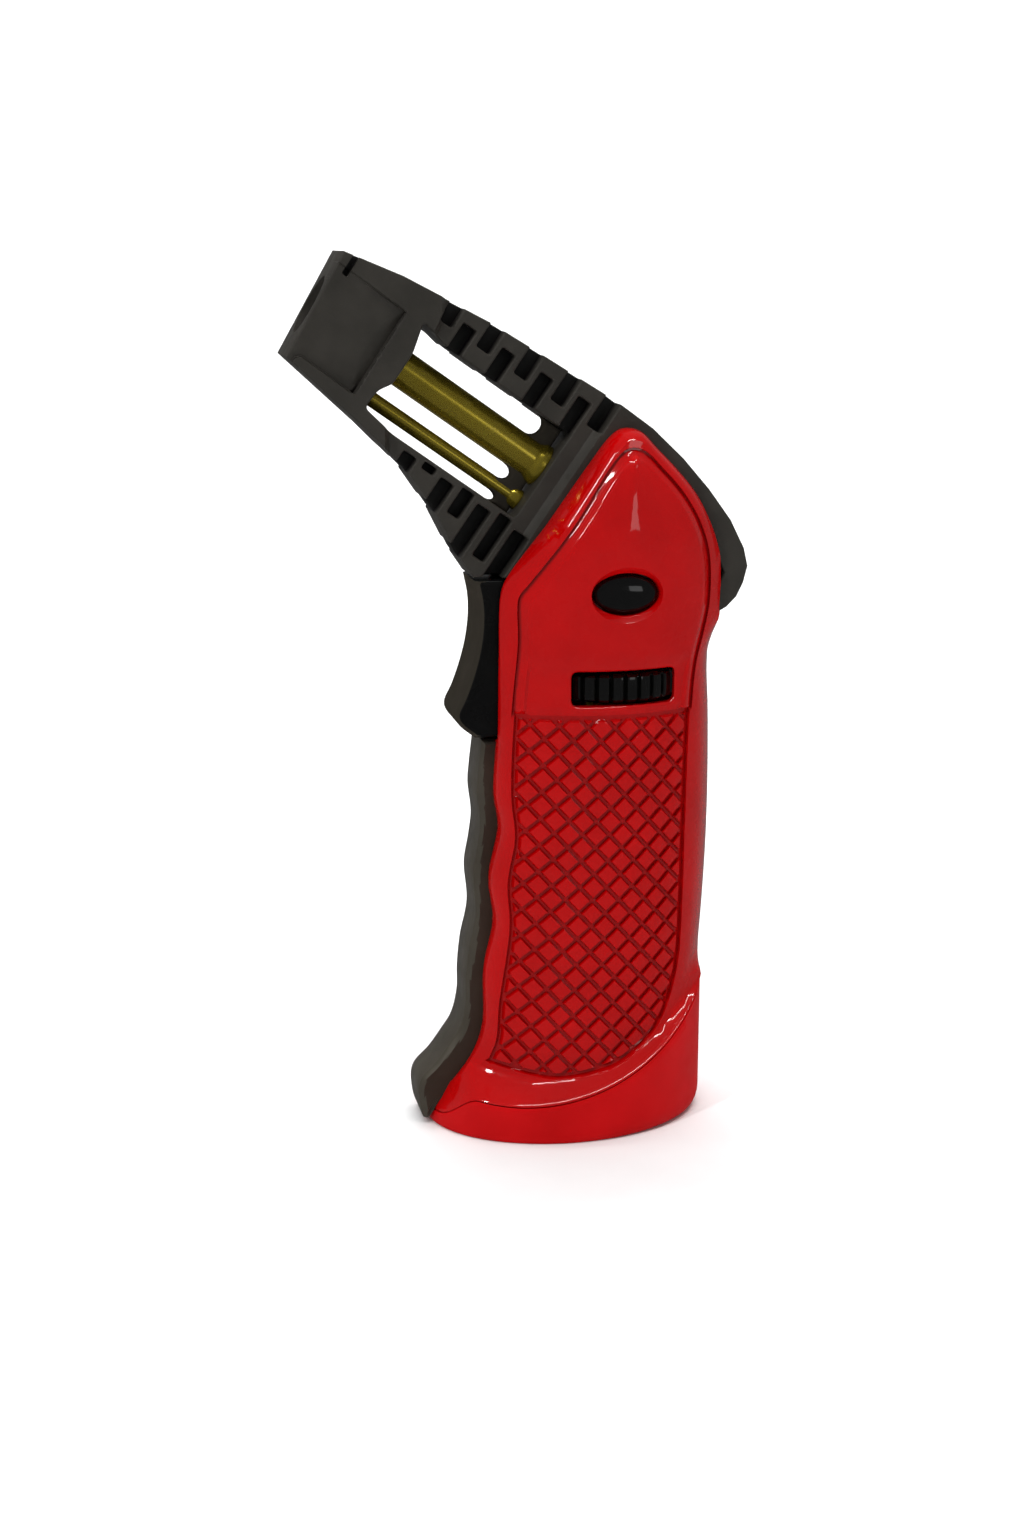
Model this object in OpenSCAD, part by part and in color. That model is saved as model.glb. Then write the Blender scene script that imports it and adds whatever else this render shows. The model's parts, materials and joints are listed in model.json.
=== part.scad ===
// Pistol-grip jet torch: two glossy side shells on a ribbed black head frame, a burner tube
// and an ignition conduit that cross an open window, and a refillable tank in the grip.
// Millimetres. +Z is up, the nozzle points towards -X, and the left side is -Y.
// The origin is the centre of the foot's resting face.

/* [Body] */
// Radius of the crowned sides of the grip
crown_r = 32; // [30:1:34]
// Half thickness of the grip at the middle of the crown
grip_half = 16; // [15.5:0.25:16.5]
// Lean of the grip towards the rear, in degrees
lean = 2.5; // [2:0.25:3]
// Wall thickness of the side shells
shell_wall = 1.8; // [1.5:0.1:2]
// Half thickness of the head frame under the side shells
spine_half = 7.5; // [7:0.25:7.5]

/* [Head] */
// Fall of the tubes from the nozzle to the grip, in degrees
tube_tilt = 35; // [35:1:35]
// Half thickness of the nozzle block
head_half = 8; // [7.8:0.1:8.2]
// Half thickness of the two ribbed rails
rail_half = 6; // [5.8:0.1:6.2]
// Depth of the slots that cut the rails into ribs
slot_depth = 3; // [2:0.25:3.5]

/* [Tubes] */
// Outer radius of the burner tube
burner_r = 3.4; // [3.2:0.1:3.5]
// Outer radius of the ignition conduit
conduit_r = 1.4; // [1.3:0.05:1.45]
// Distance between the two tube axes
tube_pitch = 7.55; // [7.5:0.05:7.6]

/* [Foot] */
// Half length of the foot
foot_a = 27.4; // [27:0.1:27.5]
// Half width of the foot
foot_b = 20.5; // [20:0.1:21]

/* [Controls] */
// Travel of the trigger
trigger_travel = 4.5; // [4:0.1:4.5]
// Half width of the trigger
trigger_half = 6.9; // [6.5:0.1:6.9]
// Outer radius of the flame wheel over its ridges
wheel_r = 15.3; // [15:0.1:15.4]
// Thickness of the flame wheel
wheel_t = 5.6; // [5:0.1:5.6]
// Ridges round the flame wheel
wheel_ridges = 36; // [30:1:40]

/* [Hidden] */
$fn = 64;
EPS = 0.05;
BIG = 200;

// ---- colours ----
RED_GLOSS = [0.72, 0.01, 0.02];
RED_MATTE = [0.62, 0.02, 0.03];
FRAME_BLACK = [0.16, 0.15, 0.13];
GUNMETAL = [0.36, 0.34, 0.29];
BLACK = [0.05, 0.05, 0.05];
BRASS = [0.55, 0.45, 0.12];
STEEL = [0.7, 0.7, 0.72];
TANK_WHITE = [0.85, 0.87, 0.85];

// ---- axes and levels ----
// A point on the burner tube's axis, in the plane of symmetry
TUBE_O = [-15.7, 134.0];
// Stations along the tubes, measured down the tube axis from TUBE_O
FACE_U = -38;
NOZZLE_BACK_U = -23.5;
WINDOW_U = [-20.5, 13.5];
WINDOW_V = [-10.7, 7.5];
TUBE_END_U = 24;
NOZZLE_FRONT_U = -35.6;
NOZZLE_R = 5.5;
// The outlet valve and the flame wheel share this axis
VALVE_X = 8;
WHEEL_Z = 84;
VALVE_NECK_TOP = WHEEL_Z - 0.3;
SLEEVE_R = 3.05;
SLEEVE_TOP = 90.7;
STEM_R = 1.25;
// The valve's seat, and the plug on the stem that closes it
SEAT_Z = 62.2;
PLUG_R = 2.15;
COLLAR_Z = 92.8;
// The lever's pin
PIN = [13, 92.5];
PIN_R = 1;
// The piezo unit and its plunger
PIEZO_Z = 102.8;
PIEZO_BOX = [[0, 23], [99.6, 107.6]];
PLUNGER_R = 2.6;
PLUNGER_X = [-9, 2];
PIEZO_BORE_END = PLUNGER_X[1] + trigger_travel + 7.5;
// The lock button
BUTTON = [8, 104.3];
BUTTON_OVAL = [6.05, 3.6];
// The fill valve
FILL_X = 2;
FILL_PORT_R = 1.35;
FILL_BOTTOM = 0.6;
FILL_CHAMBER = [4, 9.5];
// The tank
TANK_X = [-7, 17];
TANK_Z = [5, 64];
TANK_HALF = 9.8;
TANK_WALL = 1.5;
// The crease between the foot and the shells is an arc about this point
CREASE_C = [-13, 57.4];
CREASE_R = 50;

// ---- outlines in the XZ plane ----
FRAME_OUTER = [[-41.5, 165], [-52, 147], [-38.5, 134.5], [-31, 127], [-25.5, 119], [-22, 112],
    [-18.5, 106.8], [-9.2, 106.8], [-9.6, 109.4], [3.2, 127.6], [11.5, 127.6], [19.5, 121.4],
    [26, 112.6], [28.9, 106.6], [26.3, 99.5], [24.9, 92.6], [27, 92.6], [27.5, 97],
    [28.5, 99.4], [30.6, 100.2], [32.4, 102], [33.4, 104.6], [33.5, 107.6], [32.7, 111],
    [30, 116.3], [25.7, 122.1], [20.7, 127.8],
    [14.8, 133.4], [6.9, 139.1], [-6.5, 147.3], [-15.3, 152.6], [-31, 160.7]];
SHELL_UPPER = [[25.9, 88], [26.6, 95.4], [28.1, 100.4], [28.2, 106], [27.7, 110.6],
    [25.8, 116.2], [22.9, 121.5], [19.6, 125.5], [15.1, 130.1], [11.7, 133.3], [8.6, 133.6],
    [6.4, 132.1], [2.7, 127.4], [-5.2, 116.5], [-12.8, 106.7], [-13.8, 104], [-14.2, 88]];
SHELL_GRIP = [[-14.2, 92], [-14.4, 76], [-14.9, 66], [-14.1, 59.5], [-15.9, 49], [-15.1, 41],
    [-17, 31], [-17.4, 19], [-18.6, 15], [-21.6, 10.5], [-27, 5], [-27, 0.2], [27.4, 0.2],
    [27.4, 12], [26.8, 22], [27.4, 33], [28.4, 50], [28.6, 64], [28.2, 80], [27.2, 92]];
GRIP_FRONT = [[-16.9, 76], [-17.6, 70], [-17.9, 66], [-17.3, 60], [-17.8, 55.5], [-18.7, 50],
    [-18.2, 42], [-19.6, 35], [-20.2, 29], [-20.3, 24], [-21.5, 19], [-23.4, 16], [-26, 12.4],
    [-29, 9.2], [-29.6, 6.6], [-28.6, 1.2], [-27.6, 0.9]];
GRIP_REAR = [[-27.2, 4.8], [-21.6, 10.5], [-18.6, 15], [-17.4, 19], [-17, 31], [-15.1, 41],
    [-15.9, 49], [-14.1, 59.5], [-14.9, 66], [-14.4, 76]];
TRIGGER_SIDE = [[-12.6, 106.2], [-18.3, 106.2], [-17.5, 102], [-17.4, 98.5], [-17.9, 94],
    [-19, 89.5], [-20.7, 84.7], [-22, 82], [-22.1, 80.8], [-21.3, 79.2], [-18.4, 76.8],
    [-14, 77.2], [-12.6, 78]];
FOOT_TOP_BACK = 23.5;

// ---- helpers ----
function oval(a, b, n = 48, p = 2) = [for (i = [0:n - 1])
    let (c = cos(360 * i / n), s = sin(360 * i / n))
    [a * sign(c) * pow(abs(c), 2 / p), b * sign(s) * pow(abs(s), 2 / p)]];

// A point given along (u) and across (v) the burner tube, as [x, z]
function uv(u, v) = [TUBE_O[0] + u * cos(tube_tilt) + v * sin(tube_tilt),
    TUBE_O[1] - u * sin(tube_tilt) + v * cos(tube_tilt)];

// Moves each corner of a closed anticlockwise outline inwards by d
function inset(pts, d) = [for (i = [0:len(pts) - 1])
    let (n = len(pts), a = pts[(i + n - 1) % n], b = pts[i], c = pts[(i + 1) % n],
        e = (b - a) / norm(b - a), f = (c - b) / norm(c - b),
        m = [-e[1] - f[1], e[0] + f[0]], k = 1 + e * f)
    b + d * m / max(k, 0.4)];

// Extrudes an XZ outline along Y, from y0 to y1
module slab(y0, y1) {
    translate([0, y1, 0]) rotate([90, 0, 0]) linear_extrude(y1 - y0) children();
}

// Puts a shape drawn along +Z onto the burner tube's axis, pointing from the nozzle to the grip
module on_tube(u, v = 0) {
    p = uv(u, v);
    translate([p[0], 0, p[1]]) rotate([0, 90 + tube_tilt, 0]) children();
}

module tube(r_out, r_in, len) {
    difference() {
        cylinder(r = r_out, h = len);
        translate([0, 0, -EPS]) cylinder(r = r_in, h = len + 2 * EPS);
    }
}

// A wound spring along +Z, from z = 0 to len, as one swept solid with flat-ended wire
module coil(r, wire, len, turns) {
    sides = 6;
    steps = turns * 12;
    rise = len - 2 * wire;
    pts = [for (i = [0:steps], j = [0:sides - 1])
        let (t = 360 * turns * i / steps, q = 360 * j / sides, rr = r + wire * cos(q))
        [rr * cos(t), rr * sin(t), wire + rise * i / steps + wire * sin(q)]];
    swept(pts, sides, steps + 1);
}

// Joins rings of points into one closed solid
module swept(pts, sides, rings) {
    walls = [for (i = [0:rings - 2], j = [0:sides - 1])
        let (a = i * sides + j, b = i * sides + (j + 1) % sides)
        each [[a, a + sides, b], [b, a + sides, b + sides]]];
    caps = [[for (j = [0:sides - 1]) j], [for (j = [sides - 1:-1:0]) (rings - 1) * sides + j]];
    polyhedron(pts, concat(walls, caps));
}

function unit(v) = v / norm(v);
// One smooth point between route points b and c, with a and d on either side
function between(a, b, c, d, t) = 0.5 * ((2 * b) + (c - a) * t
    + (2 * a - 5 * b + 4 * c - d) * t * t + (3 * b - a - 3 * c + d) * t * t * t);
function smooth(route, per) = [for (i = [0:len(route) - 2], k = [0:per - 1])
    between(route[max(i - 1, 0)], route[i], route[i + 1],
        route[min(i + 2, len(route) - 1)], k / per), route[len(route) - 1]];

// A flexible lead of radius r along a route, with 8 sides
module lead(route, r, per) {
    p = smooth(route, per);
    n = len(p);
    dirs = [for (i = [0:n - 1]) unit(p[min(i + 1, n - 1)] - p[max(i - 1, 0)])];
    pts = [for (i = [0:n - 1], j = [0:7])
        let (side = unit(cross(dirs[i], [0.31, 0.91, 0.17])), up = cross(dirs[i], side))
        p[i] + r * (cos(45 * j) * side + sin(45 * j) * up)];
    swept(pts, 8, n);
}

// ---- shells ----
// Everything between the two crowned sides, thinner by d all round
module crown(d = 0) {
    centre_y = crown_r - grip_half;
    translate([4.2, 0, 50]) rotate([0, lean, 0]) translate([0, 0, -BIG / 2]) linear_extrude(BIG)
        intersection() {
            translate([0, centre_y]) circle(r = crown_r - d, $fn = 128);
            translate([0, -centre_y]) circle(r = crown_r - d, $fn = 128);
        }
}

module rear_round(d = 0) {
    translate([4.2, 0, 50]) rotate([0, lean, 0]) translate([0, 0, -BIG / 2])
        translate([-17.5, 0, 0]) cylinder(r = 41.5 - d, h = BIG, $fn = 128);
}

module flare(d = 0) {
    intersection() {
        slab(-BIG / 2, BIG / 2) polygon(inset(SHELL_GRIP, d));
        flare_hull(d);
    }
}

module flare_hull(d) {
    hull() {
        translate([0, 0, 7.2]) linear_extrude(0.2) polygon(oval(foot_a - d, foot_b - d, 32, 2.3));
        translate([1.5, 0, 27]) linear_extrude(0.2)
            polygon(oval(25.2 - d, 14.8 - d, 32, 2.3));
        translate([0, 0, 11.5]) linear_extrude(0.2)
            polygon(oval(foot_a - 2.2 - d, 16.9 - d, 32, 2.3));
    }
}

module above_crease(gap = 0) {
    translate([CREASE_C[0], BIG / 2, CREASE_C[1]]) rotate([90, 0, 0])
        cylinder(r = CREASE_R - gap, h = BIG, $fn = 128);
    translate([-BIG / 2, -BIG / 2, CREASE_C[1]]) cube(BIG);
}

// The whole red body as one solid, before it is split and hollowed
module body_form(d = 0) {
    intersection() {
        slab(-BIG / 2, BIG / 2) polygon(inset(SHELL_UPPER, d));
        crown(d);
    }
    intersection() {
        slab(-BIG / 2, BIG / 2) polygon(inset(SHELL_GRIP, d));
        crown(d);
        rear_round(d);
    }
}

module screw_boss(p, side) {
    translate([p[0], side * 15, p[1]]) rotate([side * 90, 0, 0]) cylinder(r = 2.6, h = 14.9);
}

SHELL_SCREWS = [[21.6, 76], [21.2, 38], [13.5, 120.5]];
FRAME_SCREWS = [[-30.5, 156.5], [31.1, 107.4]];

module wheel_window() {
    translate([-2, -BIG / 2, 83.6]) cube([20, BIG, 6.6]);
}

// side is -1 for the left half and 1 for the right half
module shell_half(side) {
    difference() {
        union() {
            intersection() {
                difference() {
                    union() {
                        body_form();
                        flare();
                    }
                    body_form(shell_wall);
                    flare(shell_wall);
                    frame_room();
                }
                above_crease(0.1);
                translate([-BIG / 2, side > 0 ? 0.02 : -BIG - 0.02, 0]) cube(BIG);
            }
            intersection() {
                for (p = SHELL_SCREWS) screw_boss(p, side);
                body_form(0.6);
            }
            pin_boss(side);
        }
        front_room();
        wheel_window();
        for (p = SHELL_SCREWS) translate([p[0], 20, p[1]]) rotate([90, 0, 0]) {
            cylinder(r = 1.02, h = 29);
            cylinder(r = 2.1, h = side > 0 ? 12.5 : 0.01);
        }
        translate([PIN[0], 0, PIN[1]]) rotate([90, 0, 0])
            cylinder(r = PIN_R + 0.02, h = 19.2, center = true);
    }
}

module pin_boss(side) {
    intersection() {
        translate([PIN[0], side * 16, PIN[1]]) rotate([side * 90, 0, 0])
            cylinder(r = 2.4, h = 8.5);
        body_form(0.6);
    }
}

// Space for the head frame between the two shells, above the waist
module frame_room() {
    translate([-BIG / 2, -spine_half - 0.1, 92.5]) cube([BIG, 2 * spine_half + 0.2, BIG]);
}

// The open front: the trigger's slot and the seat of the grip strip
module front_room() {
    slab(-trigger_half - 0.4, trigger_half + 0.4)
        polygon([[-30, 76.4], [-7.4, 76.4], [-7.4, 106.8], [-30, 106.8]]);
    slab(-5.6, 5.6) polygon(grip_outline(0.12));
}

module lock_well() {
    translate([BUTTON[0], -8.6, BUTTON[1]]) rotate([90, 0, 0]) difference() {
        linear_extrude(7) polygon(oval(7.8, 5.4));
        translate([0, 0, 1.2]) linear_extrude(8) polygon(oval(6.4, 3.95));
        translate([0, 0, -1]) cylinder(r = 1.75, h = 4);
    }
}

module left_shell() color(RED_GLOSS) {
    difference() {
        shell_half(-1);
        translate([BUTTON[0], -8.5, BUTTON[1]]) rotate([90, 0, 0]) linear_extrude(9)
            polygon(oval(7.7, 5.3));
    }
    intersection() {
        lock_well();
        crown(0.4);
    }
}

module right_shell() color(RED_GLOSS) shell_half(1);

// ---- foot ----
module base_foot() color(RED_MATTE) {
    difference() {
        intersection() {
            union() {
                translate([0, 0, 1]) linear_extrude(FOOT_TOP_BACK)
                    polygon(oval(foot_a, foot_b, 64, 2.3));
                linear_extrude(1) polygon(oval(foot_a - 0.6, foot_b - 0.6, 64, 2.3));
            }
            difference() {
                translate([-BIG / 2, -BIG / 2, 0]) cube([BIG, BIG, FOOT_TOP_BACK]);
                translate([CREASE_C[0], BIG / 2, CREASE_C[1]]) rotate([90, 0, 0])
                    cylinder(r = CREASE_R, h = BIG, $fn = 128);
            }
        }
        translate([0, 0, 2.4]) linear_extrude(30)
            polygon(oval(foot_a - 2, foot_b - 2, 64, 2.3));
        translate([FILL_X, 0, -1]) cylinder(r = 4.3, h = 5);
        slab(-5.6, 5.6) polygon(grip_outline(0.12));
    }
}

// ---- head frame ----
// A slot across a rail: drawn at station u, from v0 to v1, cut from both side faces
module rail_slot(u, v0, v1, w) {
    for (s = [-1, 1])
        on_tube(u, (v0 + v1) / 2) translate([0, s * (rail_half - slot_depth / 2 + 3), 0])
            cube([v1 - v0, slot_depth + 6, w], center = true);
}

module frame_form() {
    difference() {
        union() {
            slab(-rail_half, rail_half) polygon(FRAME_OUTER);
            intersection() {
                slab(-head_half, head_half) polygon(FRAME_OUTER);
                slab(-BIG, BIG) polygon([[-60, 120], [-34.9, 120], [-34.9, 136.2],
                    [-26.4, 150], [-24.4, 154], [-24.4, 175], [-60, 175]]);
            }
            intersection() {
                slab(-spine_half, spine_half) polygon(FRAME_OUTER);
                slab(-BIG, BIG) polygon([[-13, 107], [11, 141], [40, 141], [40, 90], [-13, 90]]);
            }
        }
        // the window between the two rails
        slab(-BIG / 2, BIG / 2) polygon([uv(WINDOW_U[0], 8.6), uv(-14, WINDOW_V[1]),
            uv(WINDOW_U[1], WINDOW_V[1]), uv(WINDOW_U[1], WINDOW_V[0]), uv(-14, WINDOW_V[0]),
            uv(-20.8, -9.6), uv(-20.6, -5.9), uv(-19, -3.4), uv(-19, 2.9)]);
        // the side pockets of the nozzle block
        for (s = [-1, 1]) translate([0, s * (head_half - 0.4), 0]) slab(-0.6, 0.6)
            polygon([[-37.9, 159.7], [-50.4, 146.9], [-40, 140.5], [-31, 154.4]]);
        // the upper rail's slots, open in turn at its top edge and into the window
        for (i = [0:4]) rail_slot(-16.9 + 8.3 * i, 10.6, 19.6, 3);
        for (i = [0:3]) rail_slot(-12.8 + 8.3 * i, 5.6, 12.8 + 0.45 * i, 2.9);
        // the lower rail's slots, open at its front edge, and the closed pockets between them
        for (i = [0:3]) rail_slot(-9 + 8.35 * i, -27, -11.8 - 0.2 * i, 3);
        for (i = [0:2]) rail_slot(-4.8 + 8.4 * i, -12.8 - 3.9 * i, -11.3, 2.7);
        // bores for the nozzle, the tubes and the insulator
        on_tube(FACE_U - 5) cylinder(r = NOZZLE_R + 0.1, h = NOZZLE_BACK_U - FACE_U + 5);
        // the notch that lets the electrode reach over the nozzle's mouth
        on_tube(FACE_U - 5, -5.5) translate([0, 0, 3.7]) cube([4, 1.8, 7.4], center = true);
        on_tube(NOZZLE_BACK_U) cylinder(r = burner_r + 0.05, h = 60);
        on_tube(FACE_U - 5, -tube_pitch) cylinder(r = conduit_r + 0.05, h = 80);
        for (p = FRAME_SCREWS) translate([p[0], 12, p[1]]) rotate([90, 0, 0]) {
            cylinder(r = 0.82, h = 16);
            cylinder(r = 1.6, h = 7.5);
        }
    }
}

module frame_left() color(FRAME_BLACK) intersection() {
    frame_form();
    translate([-BIG / 2, -BIG - 0.02, 0]) cube(BIG);
}

module frame_right() color(FRAME_BLACK) intersection() {
    frame_form();
    translate([-BIG / 2, 0.02, 0]) cube(BIG);
}

// ---- front grip ----
function grip_outline(grow = 0) = concat(GRIP_FRONT,
    [for (p = GRIP_REAR) [p[0] + 1.6 + grow, p[1] + grow]]);

module front_grip() color(GUNMETAL) slab(-5.5, 5.5) polygon(grip_outline());

// ---- trigger and piezo ----
module trigger() color(BLACK) {
    difference() {
        union() {
            slab(-trigger_half, trigger_half) polygon(TRIGGER_SIDE);
            // the push rod behind the plunger
            translate([-13, -2.9, 100.2]) cube([13 + PLUNGER_X[0], 5.8, 5.2]);
            // two arms that reach the valve lever, past either side of the piezo unit
            for (s = [-1, 1]) translate([-13, s * 6.05 - 0.85, 100.2]) cube([22.2, 1.7, 6]);
            for (s = [-1, 1]) translate([9, s * 6.05 - 0.85, 104.8]) cube([1.7, 1.7, 1.4]);
        }
        // the slot that the lock's catch drops into
        translate([2.2, -10, BUTTON[1] - 1]) cube([7.2, 6, 2]);
    }
}

module piezo_plunger() color(STEEL)
    translate([PLUNGER_X[0], 0, PIEZO_Z]) rotate([0, 90, 0])
        cylinder(r = PLUNGER_R, h = PLUNGER_X[1] - PLUNGER_X[0]);

module trigger_spring() color(STEEL)
    translate([PLUNGER_X[1] + 0.05, 0, PIEZO_Z]) rotate([0, 90, 0])
        coil(1.9, 0.3, PIEZO_BORE_END - PLUNGER_X[1] - 0.1, 7);

module piezo_body() color(BLACK) difference() {
    translate([PIEZO_BOX[0][0], -3.5, PIEZO_BOX[1][0]])
        cube([PIEZO_BOX[0][1] - PIEZO_BOX[0][0], 7, PIEZO_BOX[1][1] - PIEZO_BOX[1][0]]);
    translate([-1, 0, PIEZO_Z]) rotate([0, 90, 0])
        cylinder(r = PLUNGER_R + 0.06, h = PIEZO_BORE_END + 1);
}

// ---- lock button ----
module lock_button() color(BLACK) {
    translate([BUTTON[0], 0, BUTTON[1]]) rotate([90, 0, 0]) {
        translate([0, 0, 12.6]) linear_extrude(2.2) polygon(oval(BUTTON_OVAL[0], BUTTON_OVAL[1]));
        translate([0, 0, 14.7]) linear_extrude(0.7)
            polygon(oval(BUTTON_OVAL[0] - 0.8, BUTTON_OVAL[1] - 0.7));
        translate([0, 0, 15.3]) linear_extrude(0.4)
            polygon(oval(BUTTON_OVAL[0] - 2, BUTTON_OVAL[1] - 1.6));
        translate([0, 0, 9.1]) cylinder(r = 1.65, h = 3.6);
        translate([0, 0, 7.3]) cylinder(r = 0.7, h = 2);
    }
}

module lock_spring() color(STEEL)
    translate([BUTTON[0], -9.85, BUTTON[1]]) rotate([90, 0, 0]) coil(2.6, 0.25, 2.7, 3);

// ---- flame wheel ----
module flame_wheel() color(BLACK) translate([VALVE_X, 0, WHEEL_Z]) difference() {
    linear_extrude(wheel_t) union() {
        circle(r = wheel_r - 0.9);
        for (i = [0:wheel_ridges - 1]) rotate(360 * i / wheel_ridges)
            translate([wheel_r - 0.8, 0]) circle(r = 0.8, $fn = 16);
    }
    translate([0, 0, -1]) cylinder(r = SLEEVE_R + 0.05, h = wheel_t + 2);
    translate([0, 0, 1.4]) difference() {
        cylinder(r = wheel_r - 3, h = wheel_t);
        translate([0, 0, -1]) cylinder(r = SLEEVE_R + 2, h = wheel_t + 2);
    }
}

module wheel_clip() color(STEEL) translate([VALVE_X, 0, WHEEL_Z + wheel_t + 0.2]) difference() {
    cylinder(r = 4.4, h = 0.6);
    translate([0, 0, -1]) cylinder(r = SLEEVE_R, h = 3);
    translate([-1.6, 0, -1]) cube([3.2, 10, 3]);
}

// ---- tank ----
module tank_plan(d = 0) {
    intersection() {
        translate([TANK_X[0] + d, -TANK_HALF + d])
            square([TANK_X[1] - TANK_X[0] - 2 * d, 2 * TANK_HALF - 2 * d]);
        translate([5, 0]) circle(r = 14.2 - d);
    }
}

module fuel_tank() color(TANK_WHITE) difference() {
    translate([0, 0, TANK_Z[0]]) linear_extrude(TANK_Z[1] - TANK_Z[0]) tank_plan();
    translate([0, 0, TANK_Z[0] + TANK_WALL]) linear_extrude(BIG) tank_plan(TANK_WALL);
    translate([FILL_X, 0, 0]) cylinder(r = 3.02, h = 10);
}

module tank_lid() color(TANK_WHITE) difference() {
    union() {
        translate([0, 0, TANK_Z[1]]) linear_extrude(2.5) tank_plan();
        translate([0, 0, TANK_Z[1] - 2]) linear_extrude(2.1) tank_plan(TANK_WALL + 0.1);
    }
    translate([VALVE_X, 0, 50]) cylinder(r = 3.32, h = 30);
    translate([VALVE_X, 0, TANK_Z[1] + 1.3]) cylinder(r = 4.8, h = 5);
}

module outlet_seal() color(BLACK) translate([VALVE_X, 0, TANK_Z[1] + 1.9])
    rotate_extrude() translate([4.0, 0]) circle(r = 0.58, $fn = 24);

// ---- outlet valve ----
module outlet_valve_body() color(BRASS) translate([VALVE_X, 0, 0]) difference() {
    union() {
        translate([0, 0, 58]) cylinder(r = 3.3, h = 9);
        translate([0, 0, TANK_Z[1] + 2.5]) cylinder(r = 5.2, h = 2, $fn = 6);
        translate([0, 0, 68]) cylinder(r = 4.4, h = VALVE_NECK_TOP - 68);
        translate([0, 0, 80]) cylinder(r = SLEEVE_R, h = SLEEVE_TOP - 80);
    }
    translate([0, 0, 50]) cylinder(r = STEM_R + 0.05, h = 50);
    translate([0, 0, SEAT_Z]) cylinder(r = PLUG_R + 0.1, h = 80 - SEAT_Z);
    translate([0, 0, 50]) cylinder(r = 1.22, h = 12);
}

module valve_stem() color(BRASS) translate([VALVE_X, 0, 0]) {
    translate([0, 0, SEAT_Z + 0.1]) cylinder(r = PLUG_R, h = 1.8);
    translate([0, 0, 64]) cylinder(r = STEM_R, h = COLLAR_Z - 64);
    translate([0, 0, COLLAR_Z]) cylinder(r = 1.9, h = 1);
    translate([0, 0, COLLAR_Z + 0.9]) cylinder(r = 1.6, h = 3.2);
    translate([0, 0, 95.5]) rotate([-90, 0, 0]) cylinder(r = 0.9, h = 5);
}

module valve_spring() color(STEEL) translate([VALVE_X, 0, 64.15]) coil(1.75, 0.3, 15.7, 9);

module dip_tube() color(TANK_WHITE) translate([VALVE_X, 0, 8]) tube(1.2, 0.7, 52);

module valve_lever() color(STEEL) {
    difference() {
        union() {
            for (s = [-1, 1]) translate([0, s * 6.05, 0]) slab(-0.85, 0.85)
                polygon([[11.4, 106.6], [11.2, 91.3], [14.6, 91.3], [15.2, 94], [13.9, 106.6]]);
            translate([11.2, -6.9, 91.3]) cube([3.4, 13.8, 1]);
            translate([6.2, -3, 91.3]) cube([5.2, 6, 1]);
            translate([PIN[0], 0, PIN[1]]) rotate([90, 0, 0])
                cylinder(r = 1.9, h = 13.8, center = true);
        }
        translate([PIN[0], 0, PIN[1]]) rotate([90, 0, 0])
            cylinder(r = PIN_R + 0.05, h = 20, center = true);
        translate([5, -1.5, 90]) cube([4.6, 3, 4]);
    }
}

module lever_pin() color(STEEL) translate([PIN[0], 0, PIN[1]]) rotate([90, 0, 0])
    cylinder(r = PIN_R, h = 19, center = true);

// ---- gas and ignition lines ----
HOSE_ROUTE = [[8, 5.3, 95.5], [8, 6.6, 95.6], [8, 8.4, 97.2], [8, 9, 101], [9, 8.6, 106],
    [12, 6.5, 111.2], [14.6, 2.6, 113.2], [12.8, 0, 113.9], [9.8, 0, 116.1]];
WIRE_ROUTE = [[23.05, 0, 103.6], [25.3, 0, 104.8], [25, -1, 109], [18, -3, 111.6],
    [10, -3, 110.6], [4.6, -1.2, 110.9], [0.8, 0, 113.3]];

module gas_hose() color(BLACK) lead(HOSE_ROUTE, 1.4, 3);

module ignition_wire() color(BLACK) {
    lead(concat(WIRE_ROUTE, [for (u = [23, 12, -8, -27]) [uv(u, -tube_pitch)[0], 0,
        uv(u, -tube_pitch)[1]]]), 0.5, 3);
}

module gas_jet() color(BRASS) {
    on_tube(TUBE_END_U - 4) cylinder(r = burner_r - 0.45, h = 4.1);
    on_tube(TUBE_END_U) cylinder(r = burner_r, h = 1.6);
    on_tube(TUBE_END_U + 1.5) cylinder(r = 1.1, h = 4);
}

module burner_tube() color(BRASS) on_tube(NOZZLE_BACK_U + 0.2)
    tube(burner_r, burner_r - 0.4, TUBE_END_U - NOZZLE_BACK_U - 0.2);

module burner_collar() color(BRASS) on_tube(WINDOW_U[1] - 2.4) tube(burner_r + 0.7, burner_r, 2.3);

module ignition_conduit() color(BRASS) on_tube(-27, -tube_pitch)
    tube(conduit_r, conduit_r - 0.5, TUBE_END_U + 27);

module conduit_collar() color(BRASS) on_tube(WINDOW_U[1] - 2.2, -tube_pitch)
    tube(conduit_r + 0.6, conduit_r, 2.1);

module tube_bracket() color(FRAME_BLACK) difference() {
    on_tube(WINDOW_U[1] - 5, (WINDOW_V[0] + WINDOW_V[1]) / 2) {
        w = WINDOW_V[1] - WINDOW_V[0];
        translate([0, 0, 0.6]) cube([w, 8, 1.2], center = true);
        for (s = [-1, 1]) translate([s * (w / 2 - 0.5), 0, 2.5]) cube([1, 8, 5], center = true);
    }
    on_tube(0) cylinder(r = burner_r + 0.05, h = 20);
    on_tube(0, -tube_pitch) cylinder(r = conduit_r + 0.05, h = 20);
}

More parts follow.
